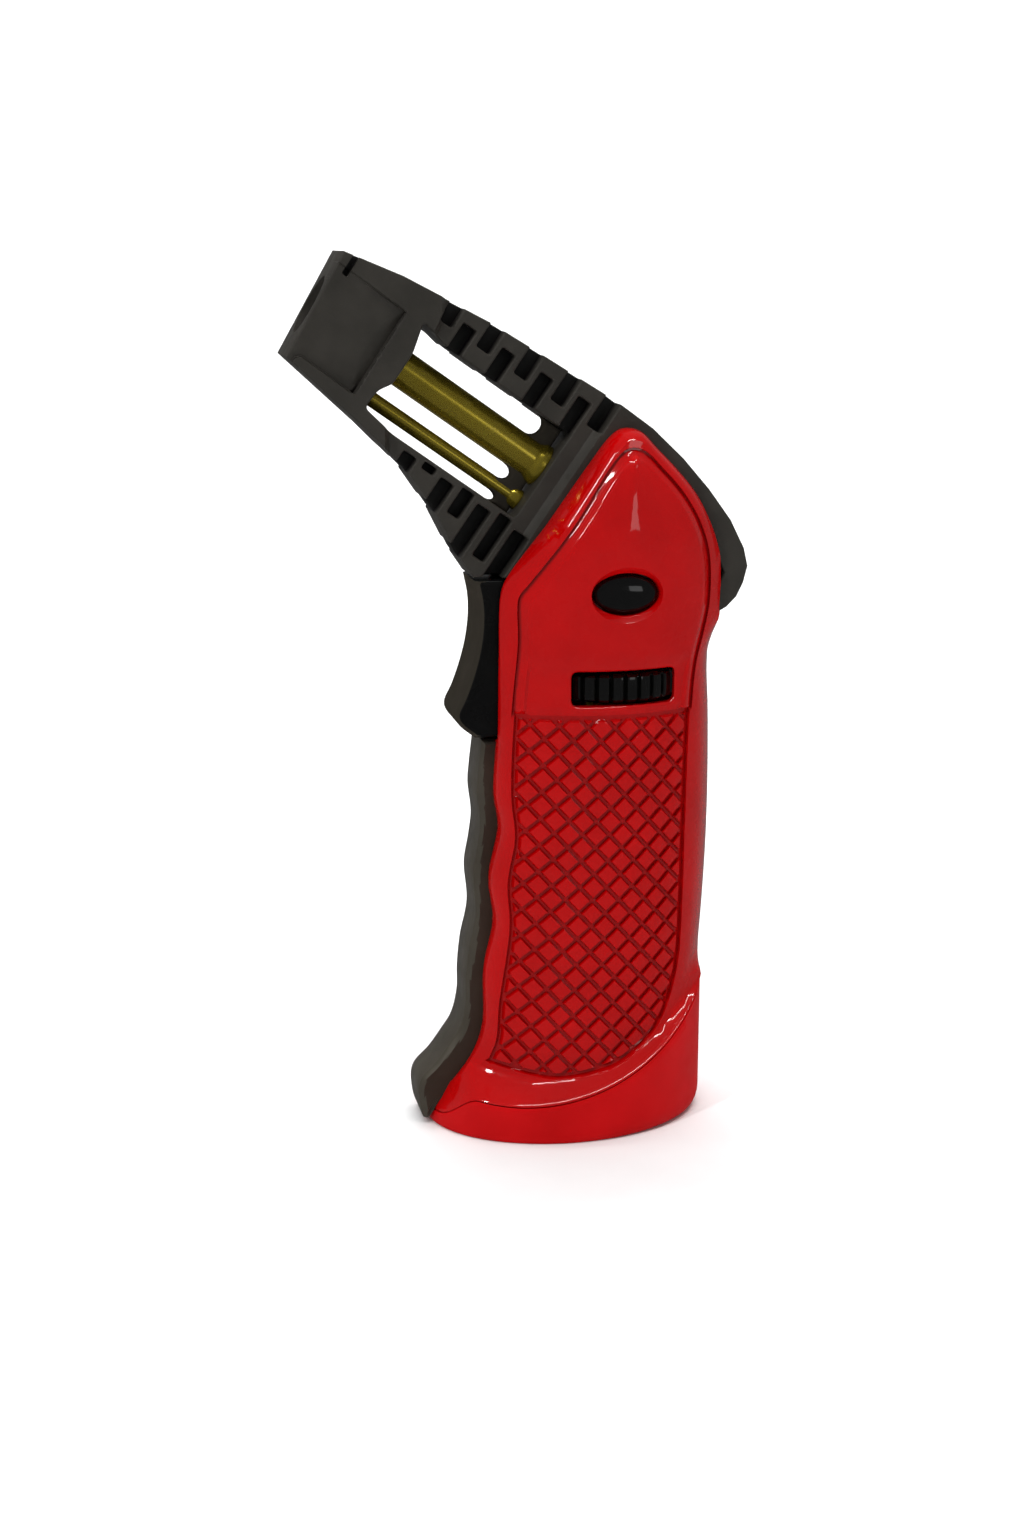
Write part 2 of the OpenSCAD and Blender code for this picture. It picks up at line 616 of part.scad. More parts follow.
// ---- burner ----
module burner_nozzle() color(STEEL) on_tube(NOZZLE_FRONT_U) difference() {
    union() {
        cylinder(r = NOZZLE_R, h = 8.8);
        translate([0, 0, 8.7]) cylinder(r1 = NOZZLE_R, r2 = 3.6, h = 3);
    }
    translate([0, 0, -1]) cylinder(r = NOZZLE_R - 0.7, h = 9);
    translate([0, 0, 5]) cylinder(r = 2.6, h = 10);
}

module flame_plate() color(STEEL) on_tube(NOZZLE_FRONT_U + 3) difference() {
    cylinder(r = NOZZLE_R - 0.75, h = 1.2);
    translate([0, 0, -1]) cylinder(r = 1.1, h = 4);
    for (i = [0:7]) rotate(45 * i) translate([3, 0, -1]) cylinder(r = 0.7, h = 4);
}

module ceramic_insulator() color(TANK_WHITE) on_tube(FACE_U + 2.2, -tube_pitch)
    tube(conduit_r, 0.5, 8.6);

module electrode() color(STEEL) {
    on_tube(FACE_U + 1, -tube_pitch) cylinder(r = 0.45, h = 9.5);
    on_tube(FACE_U + 1.2, -tube_pitch - 0.42) rotate([0, -90, 0]) cylinder(r = 0.42, h = 4);
}

// ---- fill valve ----
module fill_valve_body() color(BRASS) translate([FILL_X, 0, 0]) difference() {
    union() {
        translate([0, 0, FILL_BOTTOM]) cylinder(r = 4.1, h = 3);
        translate([0, 0, 3]) cylinder(r = 3, h = 8);
    }
    translate([0, 0, -1]) cylinder(r = FILL_PORT_R, h = 6);
    translate([0, 0, FILL_CHAMBER[0]]) cylinder(r = 2, h = 10);
}

module fill_valve_stem() color(BRASS) translate([FILL_X, 0, 0]) {
    translate([0, 0, FILL_CHAMBER[0] + 0.15]) cylinder(r = 1.92, h = 1.4);
    translate([0, 0, 5.5]) cylinder(r = 0.8, h = 1.6);
}

module fill_spring() color(STEEL) translate([FILL_X, 0, 5.6])
    coil(1.4, 0.25, FILL_CHAMBER[1] - 5.7, 3);

module fill_retainer() color(BRASS) translate([FILL_X, 0, FILL_CHAMBER[1]])
    tube(1.98, 0.9, 1.5);

module fill_seal() color(BLACK) translate([FILL_X, 0, 4.3])
    rotate_extrude() translate([3.65, 0]) circle(r = 0.6, $fn = 24);

// ---- fasteners, all driven from the right side ----
module screw(shank_r, shank_len, head_r, head_h) {
    difference() {
        union() {
            cylinder(r = head_r, h = head_h);
            cylinder(r = shank_r, h = head_h + shank_len);
        }
        for (a = [0, 90]) rotate(a) translate([-head_r * 0.6, -0.2, -1])
            cube([head_r * 1.2, 0.4, 1 + head_h * 0.6]);
    }
}

module shell_screws() color(STEEL) for (p = SHELL_SCREWS)
    translate([p[0], 7.5, p[1]]) rotate([90, 0, 0]) translate([0, 0, -1.5])
        screw(1, 16, 1.9, 1.5);

module frame_screws() color(STEEL) for (p = FRAME_SCREWS)
    translate([p[0], 5.8, p[1]]) rotate([90, 0, 0]) screw(0.8, 8, 1.5, 1.2);

left_shell();
right_shell();
frame_left();
frame_right();
base_foot();
front_grip();
trigger();
piezo_plunger();
trigger_spring();
piezo_body();
lock_button();
lock_spring();
flame_wheel();
wheel_clip();
fuel_tank();
tank_lid();
outlet_seal();
outlet_valve_body();
valve_stem();
valve_spring();
dip_tube();
valve_lever();
lever_pin();
gas_hose();
gas_jet();
burner_tube();
burner_collar();
ignition_conduit();
conduit_collar();
tube_bracket();
ignition_wire();
burner_nozzle();
flame_plate();
ceramic_insulator();
electrode();
fill_valve_body();
fill_valve_stem();
fill_spring();
fill_retainer();
fill_seal();
shell_screws();
frame_screws();
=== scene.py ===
"""A pistol-grip jet torch on a pale floor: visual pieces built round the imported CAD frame.

Lengths are millimetres, in the frame's own axes: +Z up, the nozzle towards -X, the left side
towards -Y. MM turns them into Blender's metres. Only the floor and the lights are in metres.
"""
import json
import math

import bmesh
import bpy
import numpy as np
from mathutils import Matrix, Vector, kdtree
from mathutils.geometry import delaunay_2d_cdt


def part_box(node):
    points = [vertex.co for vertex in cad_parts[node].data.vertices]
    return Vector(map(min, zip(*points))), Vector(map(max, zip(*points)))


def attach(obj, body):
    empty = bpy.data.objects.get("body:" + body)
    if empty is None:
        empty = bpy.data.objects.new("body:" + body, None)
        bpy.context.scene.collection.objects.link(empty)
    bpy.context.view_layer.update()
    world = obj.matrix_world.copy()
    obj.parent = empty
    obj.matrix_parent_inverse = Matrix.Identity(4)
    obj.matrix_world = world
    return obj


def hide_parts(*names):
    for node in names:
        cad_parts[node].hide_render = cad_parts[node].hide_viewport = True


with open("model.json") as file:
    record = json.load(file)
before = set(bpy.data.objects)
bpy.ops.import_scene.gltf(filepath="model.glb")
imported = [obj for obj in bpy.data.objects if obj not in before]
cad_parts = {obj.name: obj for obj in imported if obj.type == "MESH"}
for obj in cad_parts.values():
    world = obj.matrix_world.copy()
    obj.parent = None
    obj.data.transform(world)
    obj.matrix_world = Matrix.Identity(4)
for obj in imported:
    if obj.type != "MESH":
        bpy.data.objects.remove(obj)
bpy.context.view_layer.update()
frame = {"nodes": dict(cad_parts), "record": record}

MM = 0.001
# half the gap between the left and the right halves
SEAM = 0.02

# ---- the camera, in millimetres and degrees ----
LENS = 50
SENSOR_WIDTH = 36
CAMERA_AZIMUTH = -13.5
CAMERA_DISTANCE = 396.87
CAMERA_HEIGHT = 167.48
CAMERA_PITCH = 14.0
CAMERA_HEADING = -12.08


def make_camera():
    data = bpy.data.cameras.new("camera")
    data.lens = LENS
    data.sensor_width = SENSOR_WIDTH
    data.clip_start = 0.01
    camera = bpy.data.objects.new("camera", data)
    turn = math.radians(CAMERA_AZIMUTH)
    camera.location = (CAMERA_DISTANCE * math.sin(turn) * MM,
                       -CAMERA_DISTANCE * math.cos(turn) * MM, CAMERA_HEIGHT * MM)
    camera.rotation_euler = (math.radians(90 - CAMERA_PITCH), 0, math.radians(CAMERA_HEADING))
    bpy.context.scene.collection.objects.link(camera)
    bpy.context.scene.camera = camera


make_camera()

# ---- places taken from the frame ----


def box_mm(node):
    low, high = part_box(node)
    return Vector(low) / MM, Vector(high) / MM


def middle_mm(node):
    low, high = box_mm(node)
    return (low + high) / 2


# the grip leans back by 2.5 degrees, and its sides are arcs of CROWN_R
LEAN = math.tan(math.radians(2.5))
CROWN_R = 32.0
GRIP_HALF = 16.0
FOOT_A = box_mm("base_foot")[1].x
FOOT_B = box_mm("base_foot")[1].y
# the power of the superellipse that the foot stands on
FOOT_POWER = 2.08
# the crease between shells and foot is an arc that dips to the toe
CREASE_CENTRE = (-13.0, 57.4)
CREASE_R = 50.0
TOE_X, TOE_Z = -26.3, 3.0
# the tubes run down and back at TILT; stations u and v are counted from TUBE_O
TILT = math.radians(35)
TUBE_O = Vector((-15.7, 134.0))
DOWN_TUBE = Vector((math.cos(TILT), -math.sin(TILT)))
ACROSS_TUBE = Vector((math.sin(TILT), math.cos(TILT)))
TUBE_PITCH = 7.55
BUTTON = middle_mm("lock_button")
WHEEL = middle_mm("flame_wheel")
WHEEL_LOW, WHEEL_HIGH = box_mm("flame_wheel")
WHEEL_R = (WHEEL_HIGH.x - WHEEL_LOW.x) / 2
WHEEL_T = WHEEL_HIGH.z - WHEEL_LOW.z
# half thicknesses, along Y
HEAD_HALF = -box_mm("frame_left")[0].y
SPINE_HALF = 7.5
RAIL_HALF = 6.0
STRIP_HALF = box_mm("front_grip")[1].y
TRIGGER_HALF = box_mm("trigger")[1].y


def uv(u, v):
    """The (x, z) point at station u along the burner tube's axis and v across it."""
    return tuple(TUBE_O + float(u) * DOWN_TUBE + float(v) * ACROSS_TUBE)


def to_uv(x, z):
    """The stations (u, v) of a point."""
    dx, dz = x - TUBE_O.x, z - TUBE_O.y
    return (dx * DOWN_TUBE.x + dz * DOWN_TUBE.y, dx * ACROSS_TUBE.x + dz * ACROSS_TUBE.y)


# ---- plane geometry on numpy arrays ----
CORNER_STEPS = 5
CHUNK = 4000


def ease(t):
    """A smooth step, from 0 at t = 0 to 1 at t = 1."""
    t = np.clip(t, 0, 1)
    return t * t * (3 - 2 * t)


def ramp(t, knots):
    """A piecewise straight function of t through (t, value) knots."""
    return np.interp(t, [k[0] for k in knots], [k[1] for k in knots])


def smooth_loop(points, step=1.0, closed=True):
    """A curve through the points. A point given twice in a row is a corner."""
    out = []
    n = len(points)
    for i in range(n if closed else n - 1):
        ends = [(i + k) % n if closed else min(max(i + k, 0), n - 1) for k in (-1, 0, 1, 2)]
        a, b, c, d = (Vector(points[e]) for e in ends)
        if (c - b).length < 1e-6:
            continue
        if (b - a).length < 1e-6:
            a = 2 * b - c
        if (d - c).length < 1e-6:
            d = 2 * c - b
        t1, t2, t3 = (math.sqrt((q - p).length) for p, q in ((a, b), (b, c), (c, d)))
        m1 = ((b - a) / t1 - (c - a) / (t1 + t2) + (c - b) / t2) * t2
        m2 = ((c - b) / t2 - (d - b) / (t2 + t3) + (d - c) / t3) * t2
        count = max(1, round((c - b).length / step))
        for k in range(count):
            t = k / count
            out.append(tuple(b * (2 * t**3 - 3 * t**2 + 1) + m1 * (t**3 - 2 * t**2 + t)
                             + c * (3 * t**2 - 2 * t**3) + m2 * (t**3 - t**2)))
    if not closed:
        out.append(tuple(points[-1]))
    return out


def straight_loop(points, step=1.0, closed=True):
    """The polygon through the points, with extra points along its sides."""
    doubled = [p for p in points for _ in range(2)]
    return smooth_loop(doubled, step, closed)


def rounded(points, radius, step=0.5):
    """The polygon through the points with its corners rounded."""
    out = []
    n = len(points)
    for i in range(n):
        a, b, c = (Vector(points[(i + k) % n]) for k in (-1, 0, 1))
        cut = min(radius, (a - b).length / 2.01, (c - b).length / 2.01)
        start = b + (a - b).normalized() * cut
        end = b + (c - b).normalized() * cut
        for k in range(CORNER_STEPS):
            t = k / (CORNER_STEPS - 1)
            out.append(tuple(start * (1 - t)**2 + b * 2 * t * (1 - t) + end * t * t))
    return straight_loop(out, step)


def ellipse(cx, cz, a, b, step=0.6):
    count = max(16, int(2 * math.pi * max(a, b) / step))
    turns = [2 * math.pi * k / count for k in range(count)]
    return [(cx + a * math.cos(t), cz + b * math.sin(t)) for t in turns]


def distance(x, z, line, closed=True):
    """Distance from each point to a line of points."""
    pts = np.array(line, float)
    a = pts if closed else pts[:-1]
    b = np.roll(pts, -1, 0) if closed else pts[1:]
    ab = b - a
    square = np.maximum((ab**2).sum(1), 1e-12)
    best = np.full(len(x), 1e9)
    for s in range(0, len(x), CHUNK):
        px, pz = x[s:s + CHUNK, None] - a[:, 0], z[s:s + CHUNK, None] - a[:, 1]
        t = np.clip((px * ab[:, 0] + pz * ab[:, 1]) / square, 0, 1)
        best[s:s + CHUNK] = np.hypot(px - t * ab[:, 0], pz - t * ab[:, 1]).min(1)
    return best


def inside(x, z, loop):
    """Whether each point is inside the loop."""
    pts = np.array(loop, float)
    ax, az = pts[:, 0], pts[:, 1]
    bx, bz = np.roll(ax, -1), np.roll(az, -1)
    hit = np.zeros(len(x), bool)
    for s in range(0, len(x), CHUNK):
        px, pz = x[s:s + CHUNK, None], z[s:s + CHUNK, None]
        spans = (az > pz) != (bz > pz)
        rise = np.where(bz == az, 1e-12, bz - az)
        left = px < (bx - ax) * (pz - az) / rise + ax
        hit[s:s + CHUNK] = (spans & left).sum(1) % 2 == 1
    return hit


def depth_in(x, z, loop):
    """Distance to the loop, positive inside it and negative outside."""
    return np.where(inside(x, z, loop), 1, -1) * distance(x, z, loop)


def area(loop):
    """The loop's area, positive if it runs anticlockwise in (x, z)."""
    pts = np.array(loop)
    nxt = np.roll(pts, -1, 0)
    return 0.5 * (pts[:, 0] * nxt[:, 1] - nxt[:, 0] * pts[:, 1]).sum()


def offset_row(loop, gap):
    """The loop moved inwards by gap (outwards if it is negative), with None where it folds over."""
    pts = loop if area(loop) > 0 else loop[::-1]
    n = len(pts)
    moved = []
    for i in range(n):
        a, b, c = (Vector(pts[(i + k) % n]) for k in (-1, 0, 1))
        e, f = (b - a).normalized(), (c - b).normalized()
        side = Vector((-e.y - f.y, e.x + f.x))
        moved.append(b + side * gap / max(1 + e.dot(f), 0.4))
    if not gap:
        return [tuple(p) for p in moved]
    far = depth_in(np.array([p.x for p in moved]), np.array([p.y for p in moved]), pts)
    return [tuple(p) if abs(d - gap) < 0.3 * abs(gap) + 0.01 else None for p, d in zip(moved, far)]


# ---- meshes ----
# grid points keep this share of their step away from a plan's lines
CLEAR_SHARE = 0.55
WELD = 0.004


def mark_edges(bm, angle):
    """Shades faces smooth, but keeps edges at or over the angle sharp."""
    limit = math.radians(angle)
    for face in bm.faces:
        face.smooth = True
    for edge in bm.edges:
        edge.smooth = len(edge.link_faces) == 2 and edge.calc_face_angle(0) < limit


def piece(node, bm, body, materials, angle=30):
    """Turns a bmesh in millimetres into the visual piece that replaces a node of the frame."""
    name = node + "_visual"
    mark_edges(bm, angle)
    mesh = bpy.data.meshes.new(name)
    bm.to_mesh(mesh)
    bm.free()
    mesh.transform(Matrix.Scale(MM, 4))
    for m in materials:
        mesh.materials.append(m)
    obj = bpy.data.objects.new(name, mesh)
    bpy.context.scene.collection.objects.link(obj)
    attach(obj, body)
    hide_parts(node)


class Plan:
    """A solid drawn as a plan in (x, z), with an outer and an inner height over it.

    Loops and rows of the plan become edges of the mesh, so that steps and bevels stay crisp.
    """

    def __init__(self, outline):
        self.outline = outline
        self.holes = []
        self.points = []
        self.edges = []
        self.row(outline, closed=True)

    def row(self, points, closed=False):
        """Adds a line of points; None breaks the line."""
        index = []
        for p in points:
            index.append(None if p is None else len(self.points))
            if p is not None:
                self.points.append(p)
        pairs = list(zip(index, index[1:] + (index[:1] if closed else [])))
        self.edges += [(a, b) for a, b in pairs if a is not None and b is not None and a != b]

    def rows(self, loop, gaps):
        """Adds copies of the loop, each moved inwards by one of the gaps."""
        for gap in gaps:
            self.row(offset_row(loop, gap), closed=True)

    def hole(self, loop, gaps=()):
        self.holes.append(loop)
        self.row(loop, closed=True)
        self.rows(loop, gaps)

    def fill(self, step, where=None):
        """Adds a grid of points, clear of the lines."""
        tree = kdtree.KDTree(len(self.points))
        for i, p in enumerate(self.points):
            tree.insert((p[0], p[1], 0), i)
        tree.balance()
        pts = np.array(self.outline)
        xs = np.arange(pts[:, 0].min(), pts[:, 0].max(), step)
        zs = np.arange(pts[:, 1].min(), pts[:, 1].max(), step)
        gx, gz = (g.ravel() for g in np.meshgrid(xs, zs))
        keep = inside(gx, gz, self.outline)
        if where is not None:
            keep &= where(gx, gz)
        for px, pz in zip(gx[keep], gz[keep]):
            if tree.find((px, pz, 0))[2] > CLEAR_SHARE * step:
                self.points.append((px, pz))

    def solid(self, outer, inner, side, level=None):
        """A closed bmesh between y = side * outer(x, z) and y = side * inner(x, z).

        level(x, z), or 1 without it, is stored on the mesh as the colour attribute "level". It
        carries painted shade: below 1 the material darkens grooves and slots.
        """
        verts, _, faces, _, _, _ = delaunay_2d_cdt(
            [Vector(p) for p in self.points], self.edges, [], 0, 1e-4)
        x = np.array([v.x for v in verts])
        z = np.array([v.y for v in verts])
        tri = np.array([f for f in faces if len(f) == 3])
        cx, cz = x[tri].mean(1), z[tri].mean(1)
        keep = inside(cx, cz, self.outline)
        for loop in self.holes:
            keep &= ~inside(cx, cz, loop)
        tri = tri[keep]
        high, low = outer(x, z), inner(x, z)
        low = np.minimum(low, high)
        # how much painted shade each point gets: 1 for none, less in grooves and slots
        shade_tint = level(x, z) if level else np.ones(len(x))
        bm = bmesh.new()
        layer = bm.verts.layers.float_color.new("level")
        top, bottom = {}, {}
        for i in sorted(set(tri.ravel().tolist())):
            top[i] = bm.verts.new((x[i], side * high[i], z[i]))
            bottom[i] = bm.verts.new((x[i], side * low[i], z[i]))
            top[i][layer] = (shade_tint[i],) * 3 + (1,)
            bottom[i][layer] = (shade_tint[i],) * 3 + (1,)
        seen = {}
        for a, b, c in tri.tolist():
            order = (a, b, c) if side < 0 else (c, b, a)
            bm.faces.new([top[k] for k in order])
            bm.faces.new([bottom[k] for k in reversed(order)])
            for p, q in zip(order, order[1:] + order[:1]):
                seen[(p, q)] = True
        for p, q in seen:
            if (q, p) not in seen:
                bm.faces.new([top[q], top[p], bottom[p], bottom[q]])
        bmesh.ops.remove_doubles(bm, verts=bm.verts, dist=WELD)
        return bm


def lathe(bm, profile, place, sides=64, radius_at=None):
    """Turns a closed profile of (radius, height) about its axis; place moves it into position."""
    rings = []
    for k in range(sides):
        turn = 2 * math.pi * k / sides
        ring = []
        for j, (r, h) in enumerate(profile):
            rr = r if radius_at is None else radius_at(j, r, turn)
            ring.append(bm.verts.new(place @ Vector((rr * math.cos(turn), rr * math.sin(turn), h))))
        rings.append(ring)
    n = len(profile)
    for k in range(sides):
        here, there = rings[k], rings[(k + 1) % sides]
        for j in range(n):
            bm.faces.new([here[j], there[j], there[(j + 1) % n], here[(j + 1) % n]])
    bmesh.ops.recalc_face_normals(bm, faces=bm.faces)


def tube_place(u, v=0.0):
    """Puts an axis drawn along +Z onto the burner tube's direction at station u, v."""
    x, z = uv(u, v)
    return Matrix.Translation((x, 0, z)) @ Matrix.Rotation(math.pi / 2 + TILT, 4, "Y")


def soft_box(bm, low, high, bevel):
    """A block between two corners with bevelled edges, added to bm."""
    made = bmesh.ops.create_cube(bm, size=1.0)["verts"]
    low, high = Vector(low), Vector(high)
    for v in made:
        v.co = Vector([l + (c + 0.5) * (h - l) for l, c, h in zip(low, v.co, high)])
    edges = list({e for v in made for e in v.link_edges})
    bmesh.ops.bevel(bm, geom=edges, offset=bevel, segments=2, affect="EDGES", profile=0.5)


# ---- materials ----
# the colour sockets of a Mix node, which share their names with others
MIX_FIRST, MIX_SECOND, MIX_RESULT = 6, 7, 2
NOISE_SPAN = (0.3, 0.7)
PATCH_SCALE = 90
POLISH_SCALE = 260
GRAIN_STRENGTH = 0.6
COAT_ROUGHNESS = 0.05


def shader(name):
    m = bpy.data.materials.new(name)
    m.use_nodes = True
    return m, m.node_tree.nodes, m.node_tree.links, m.node_tree.nodes["Principled BSDF"]


def noise(nodes, links, scale, detail):
    where = nodes.new("ShaderNodeTexCoord")
    tex = nodes.new("ShaderNodeTexNoise")
    tex.inputs["Scale"].default_value = scale
    tex.inputs["Detail"].default_value = detail
    links.new(where.outputs["Object"], tex.inputs["Vector"])
    return tex.outputs["Fac"]


def spread(nodes, links, value, low, high):
    """Stretches a noise's usual span to run from low to high."""
    span = nodes.new("ShaderNodeMapRange")
    span.inputs["From Min"].default_value, span.inputs["From Max"].default_value = NOISE_SPAN
    span.inputs["To Min"].default_value, span.inputs["To Max"].default_value = low, high
    links.new(value, span.inputs["Value"])
    return span.outputs["Result"]


def blend_colours(nodes, links, fac, first, second):
    mix = nodes.new("ShaderNodeMix")
    mix.data_type = "RGBA"
    links.new(fac, mix.inputs["Factor"])
    for socket, colour in ((mix.inputs[MIX_FIRST], first), (mix.inputs[MIX_SECOND], second)):
        if isinstance(colour, tuple):
            socket.default_value = (*colour, 1)
        else:
            links.new(colour, socket)
    return mix.outputs[MIX_RESULT]


def bump(nodes, links, bsdf, height, depth):
    node = nodes.new("ShaderNodeBump")
    node.inputs["Strength"].default_value = GRAIN_STRENGTH
    node.inputs["Distance"].default_value = depth * MM
    links.new(height, node.inputs["Height"])
    links.new(node.outputs["Normal"], bsdf.inputs["Normal"])


def moulded(name, dark, light, rough, grain, depth, metal=0.0, coat=0.0, specular=0.5,
            levels=None):
    """A moulded or painted surface: patchy tone, uneven polish and a fine grain.

    dark and light bound the tone, rough is its (low, high) roughness, grain the noise scale and
    depth the grain's height in millimetres. levels is the painted shade colour, shown where the
    mesh's "level" is 0.
    """
    m, nodes, links, bsdf = shader(name)
    patch = spread(nodes, links, noise(nodes, links, PATCH_SCALE, 4), 0, 1)
    colour = blend_colours(nodes, links, patch, dark, light)
    # painted shade: where the stored "level" falls below 1, the colour blends towards levels
    if levels:
        stored = nodes.new("ShaderNodeVertexColor")
        stored.layer_name = "level"
        colour = blend_colours(nodes, links, stored.outputs["Color"], levels, colour)
    links.new(colour, bsdf.inputs["Base Color"])
    fine = noise(nodes, links, grain, 2)
    polish = spread(nodes, links, noise(nodes, links, POLISH_SCALE, 3), *rough)
    links.new(polish, bsdf.inputs["Roughness"])
    bump(nodes, links, bsdf, fine, depth)
    bsdf.inputs["Metallic"].default_value = metal
    bsdf.inputs["Coat Weight"].default_value = coat
    bsdf.inputs["Coat Roughness"].default_value = COAT_ROUGHNESS
    bsdf.inputs["Specular IOR Level"].default_value = specular
    return m


# its levels colour is painted shade, dark in the groove round the panel and between the pads
RED_GLOSS = moulded("red_gloss", (0.42, 0.0004, 0.0008), (0.50, 0.0007, 0.0014), (0.22, 0.32),
                    2600, 0.004, coat=0.9, specular=0.03, levels=(0.16, 0.0005, 0.001))
RED_MATTE = moulded("red_matte", (0.50, 0.001, 0.002), (0.60, 0.002, 0.004), (0.42, 0.55),
                    5200, 0.03, specular=0.08)
# its levels colour is painted shade, nearly black inside the rail slots and the head's notch
FRAME_BLACK = moulded("frame_black", (0.026, 0.024, 0.020), (0.042, 0.038, 0.032), (0.46, 0.62),
                      4200, 0.035, specular=0.2, levels=(0.002, 0.002, 0.002))
GUNMETAL = moulded("gunmetal", (0.060, 0.052, 0.040), (0.080, 0.070, 0.055), (0.30, 0.42),
                   3600, 0.012, metal=0.3, specular=0.15)
# the strip's sides: a brownish painted reflection of the red shells beside them
STRIP_SIDE_PAINTED_REFLECTION = moulded("strip_side_painted_reflection", (0.030, 0.019, 0.013), (0.042, 0.027, 0.019), (0.35, 0.5),
                     3600, 0.012, specular=0.15)
TRIGGER_BLACK = moulded("trigger_black", (0.003, 0.003, 0.003), (0.005, 0.005, 0.005),
                        (0.24, 0.34), 3200, 0.01, specular=0.08)
TRIGGER_FRONT = moulded("trigger_front", (0.026, 0.023, 0.018), (0.036, 0.031, 0.025), (0.5, 0.6),
                        3200, 0.012, specular=0.0)
GLOSS_BLACK = moulded("gloss_black", (0.001, 0.001, 0.001), (0.002, 0.002, 0.002), (0.12, 0.2),
                      2800, 0.003, coat=0.6, specular=0.06)
BRASS = moulded("brass", (0.34, 0.258, 0.022), (0.37, 0.285, 0.026), (0.20, 0.28), 1500, 0.0008,
                metal=0.85, coat=0.2)
STEEL = moulded("steel", (0.42, 0.41, 0.40), (0.58, 0.57, 0.56), (0.22, 0.36), 2400, 0.006,
                metal=1.0)
SPRING_STEEL = moulded("spring_steel", (0.34, 0.34, 0.36), (0.48, 0.48, 0.50), (0.2, 0.3), 2000,
                       0.004, metal=1.0)
RUBBER = moulded("rubber", (0.012, 0.012, 0.012), (0.022, 0.021, 0.020), (0.6, 0.75), 3000, 0.02)
WIRE_JACKET = moulded("wire_jacket", (0.010, 0.010, 0.011), (0.018, 0.018, 0.02), (0.4, 0.5), 3000,
                      0.01)
BLACK_PLASTIC = moulded("black_plastic", (0.010, 0.010, 0.010), (0.02, 0.02, 0.02), (0.4, 0.55),
                        3600, 0.02)
TANK_PLASTIC = moulded("tank_plastic", (0.62, 0.66, 0.62), (0.74, 0.77, 0.73), (0.3, 0.42), 2600,
                       0.01)
CERAMIC = moulded("ceramic", (0.70, 0.68, 0.62), (0.80, 0.78, 0.72), (0.25, 0.35), 3200, 0.01)
PALE_FLOOR = moulded("pale_floor", (0.90, 0.90, 0.90), (0.92, 0.92, 0.92), (0.8, 0.9), 300, 0.02,
                     specular=0.1)

SLOT_MATERIALS = {"red_gloss": RED_GLOSS, "red_matte": RED_MATTE, "frame_black": FRAME_BLACK,
                  "grip_gunmetal": GUNMETAL, "trigger_black": TRIGGER_BLACK,
                  "gloss_black": GLOSS_BLACK, "black_plastic": BLACK_PLASTIC, "rubber": RUBBER,
                  "wire_jacket": WIRE_JACKET, "brass": BRASS, "steel": STEEL,
                  "spring_steel": SPRING_STEEL, "tank_plastic": TANK_PLASTIC, "ceramic": CERAMIC}

for row in frame["record"]["subparts"]:
    kept = frame["nodes"][row["node"]]
    kept.data.materials.clear()
    kept.data.materials.append(SLOT_MATERIALS[row["material_slot"]])

# ---- the side shells ----

SHELL_FRONT = [(-5.2, 116.5), (-12.8, 106.7), (-13.8, 104), (-14.2, 90), (-14.4, 76), (-14.9, 66),
               (-14.1, 59.5), (-15.9, 49.5), (-15.1, 41), (-16.9, 31.5), (-17.2, 20), (-19, 14.6),
               (-22.5, 9.6), (-27, 5)]
SHELL_REAR = [(27.4, 33), (28.4, 50), (28.6, 64), (28.2, 80), (27.7, 88), (27.9, 95.6),
              (28.4, 100.4), (28.2, 106), (27.7, 110.6), (25.8, 116.2), (22.9, 121.5),
              (19.6, 125.5), (15.1, 130.1), (11.7, 133.3), (8.6, 133.6), (6.4, 132.1), (2.7, 127.4)]
PANEL = [(-11.9, 82), (-10.8, 95), (-10.6, 103.6), (-9.6, 105.1), (-1.7, 116), (6.5, 128.1),
         (8.7, 130), (11.1, 129.8), (15.2, 126.1), (19.1, 121.8), (22.4, 116.6), (24.5, 111),
         (25.1, 106.4), (24.9, 100.8), (23.8, 96.2), (22.3, 90.9), (21.5, 84), (21, 60),
         (20.9, 45.7), (20.2, 31.6), (17.8, 23.4), (15.1, 19.2), (8.4, 14.3), (3.6, 12.6),
         (-4.5, 11.4), (-9.4, 12), (-16.9, 13.6), (-16.9, 13.6), (-15.4, 18), (-14.8, 25.5),
         (-12.9, 41), (-13.2, 49.5), (-11.9, 58.5), (-12.5, 66.3)]
# above WAIST_Z the shells clasp the head frame; below it they meet in the middle
WAIST_Z = 92.5
# the padded weave: a pad's top and foot lie at PAD_EDGES, in cells, from its centre, and the pads
# fade out over PAD_BORDER from the pocket's rim
WEAVE_TOP = 82.0
PAD_CENTRE = (-4.2, 18.8)
PAD_PITCH = 5.1
PAD_EDGES = (0.36, 0.43)
PAD_BORDER = (0.75, 1.1)
PAD_HEIGHT = 0.75
PAD_CROWN = 0.15
POCKET_DEPTH = 0.85
CELLS = 22
# the upper panel: its groove, its step, and a low tent with a leaning ridge
PANEL_RAISE = 0.5
GROOVE_DEPTH = 0.4
TENT_HEIGHT = 1.1
RIDGE_LOW = 108
SHELL_WALL = 2.4
WELL_WALL = 1.2
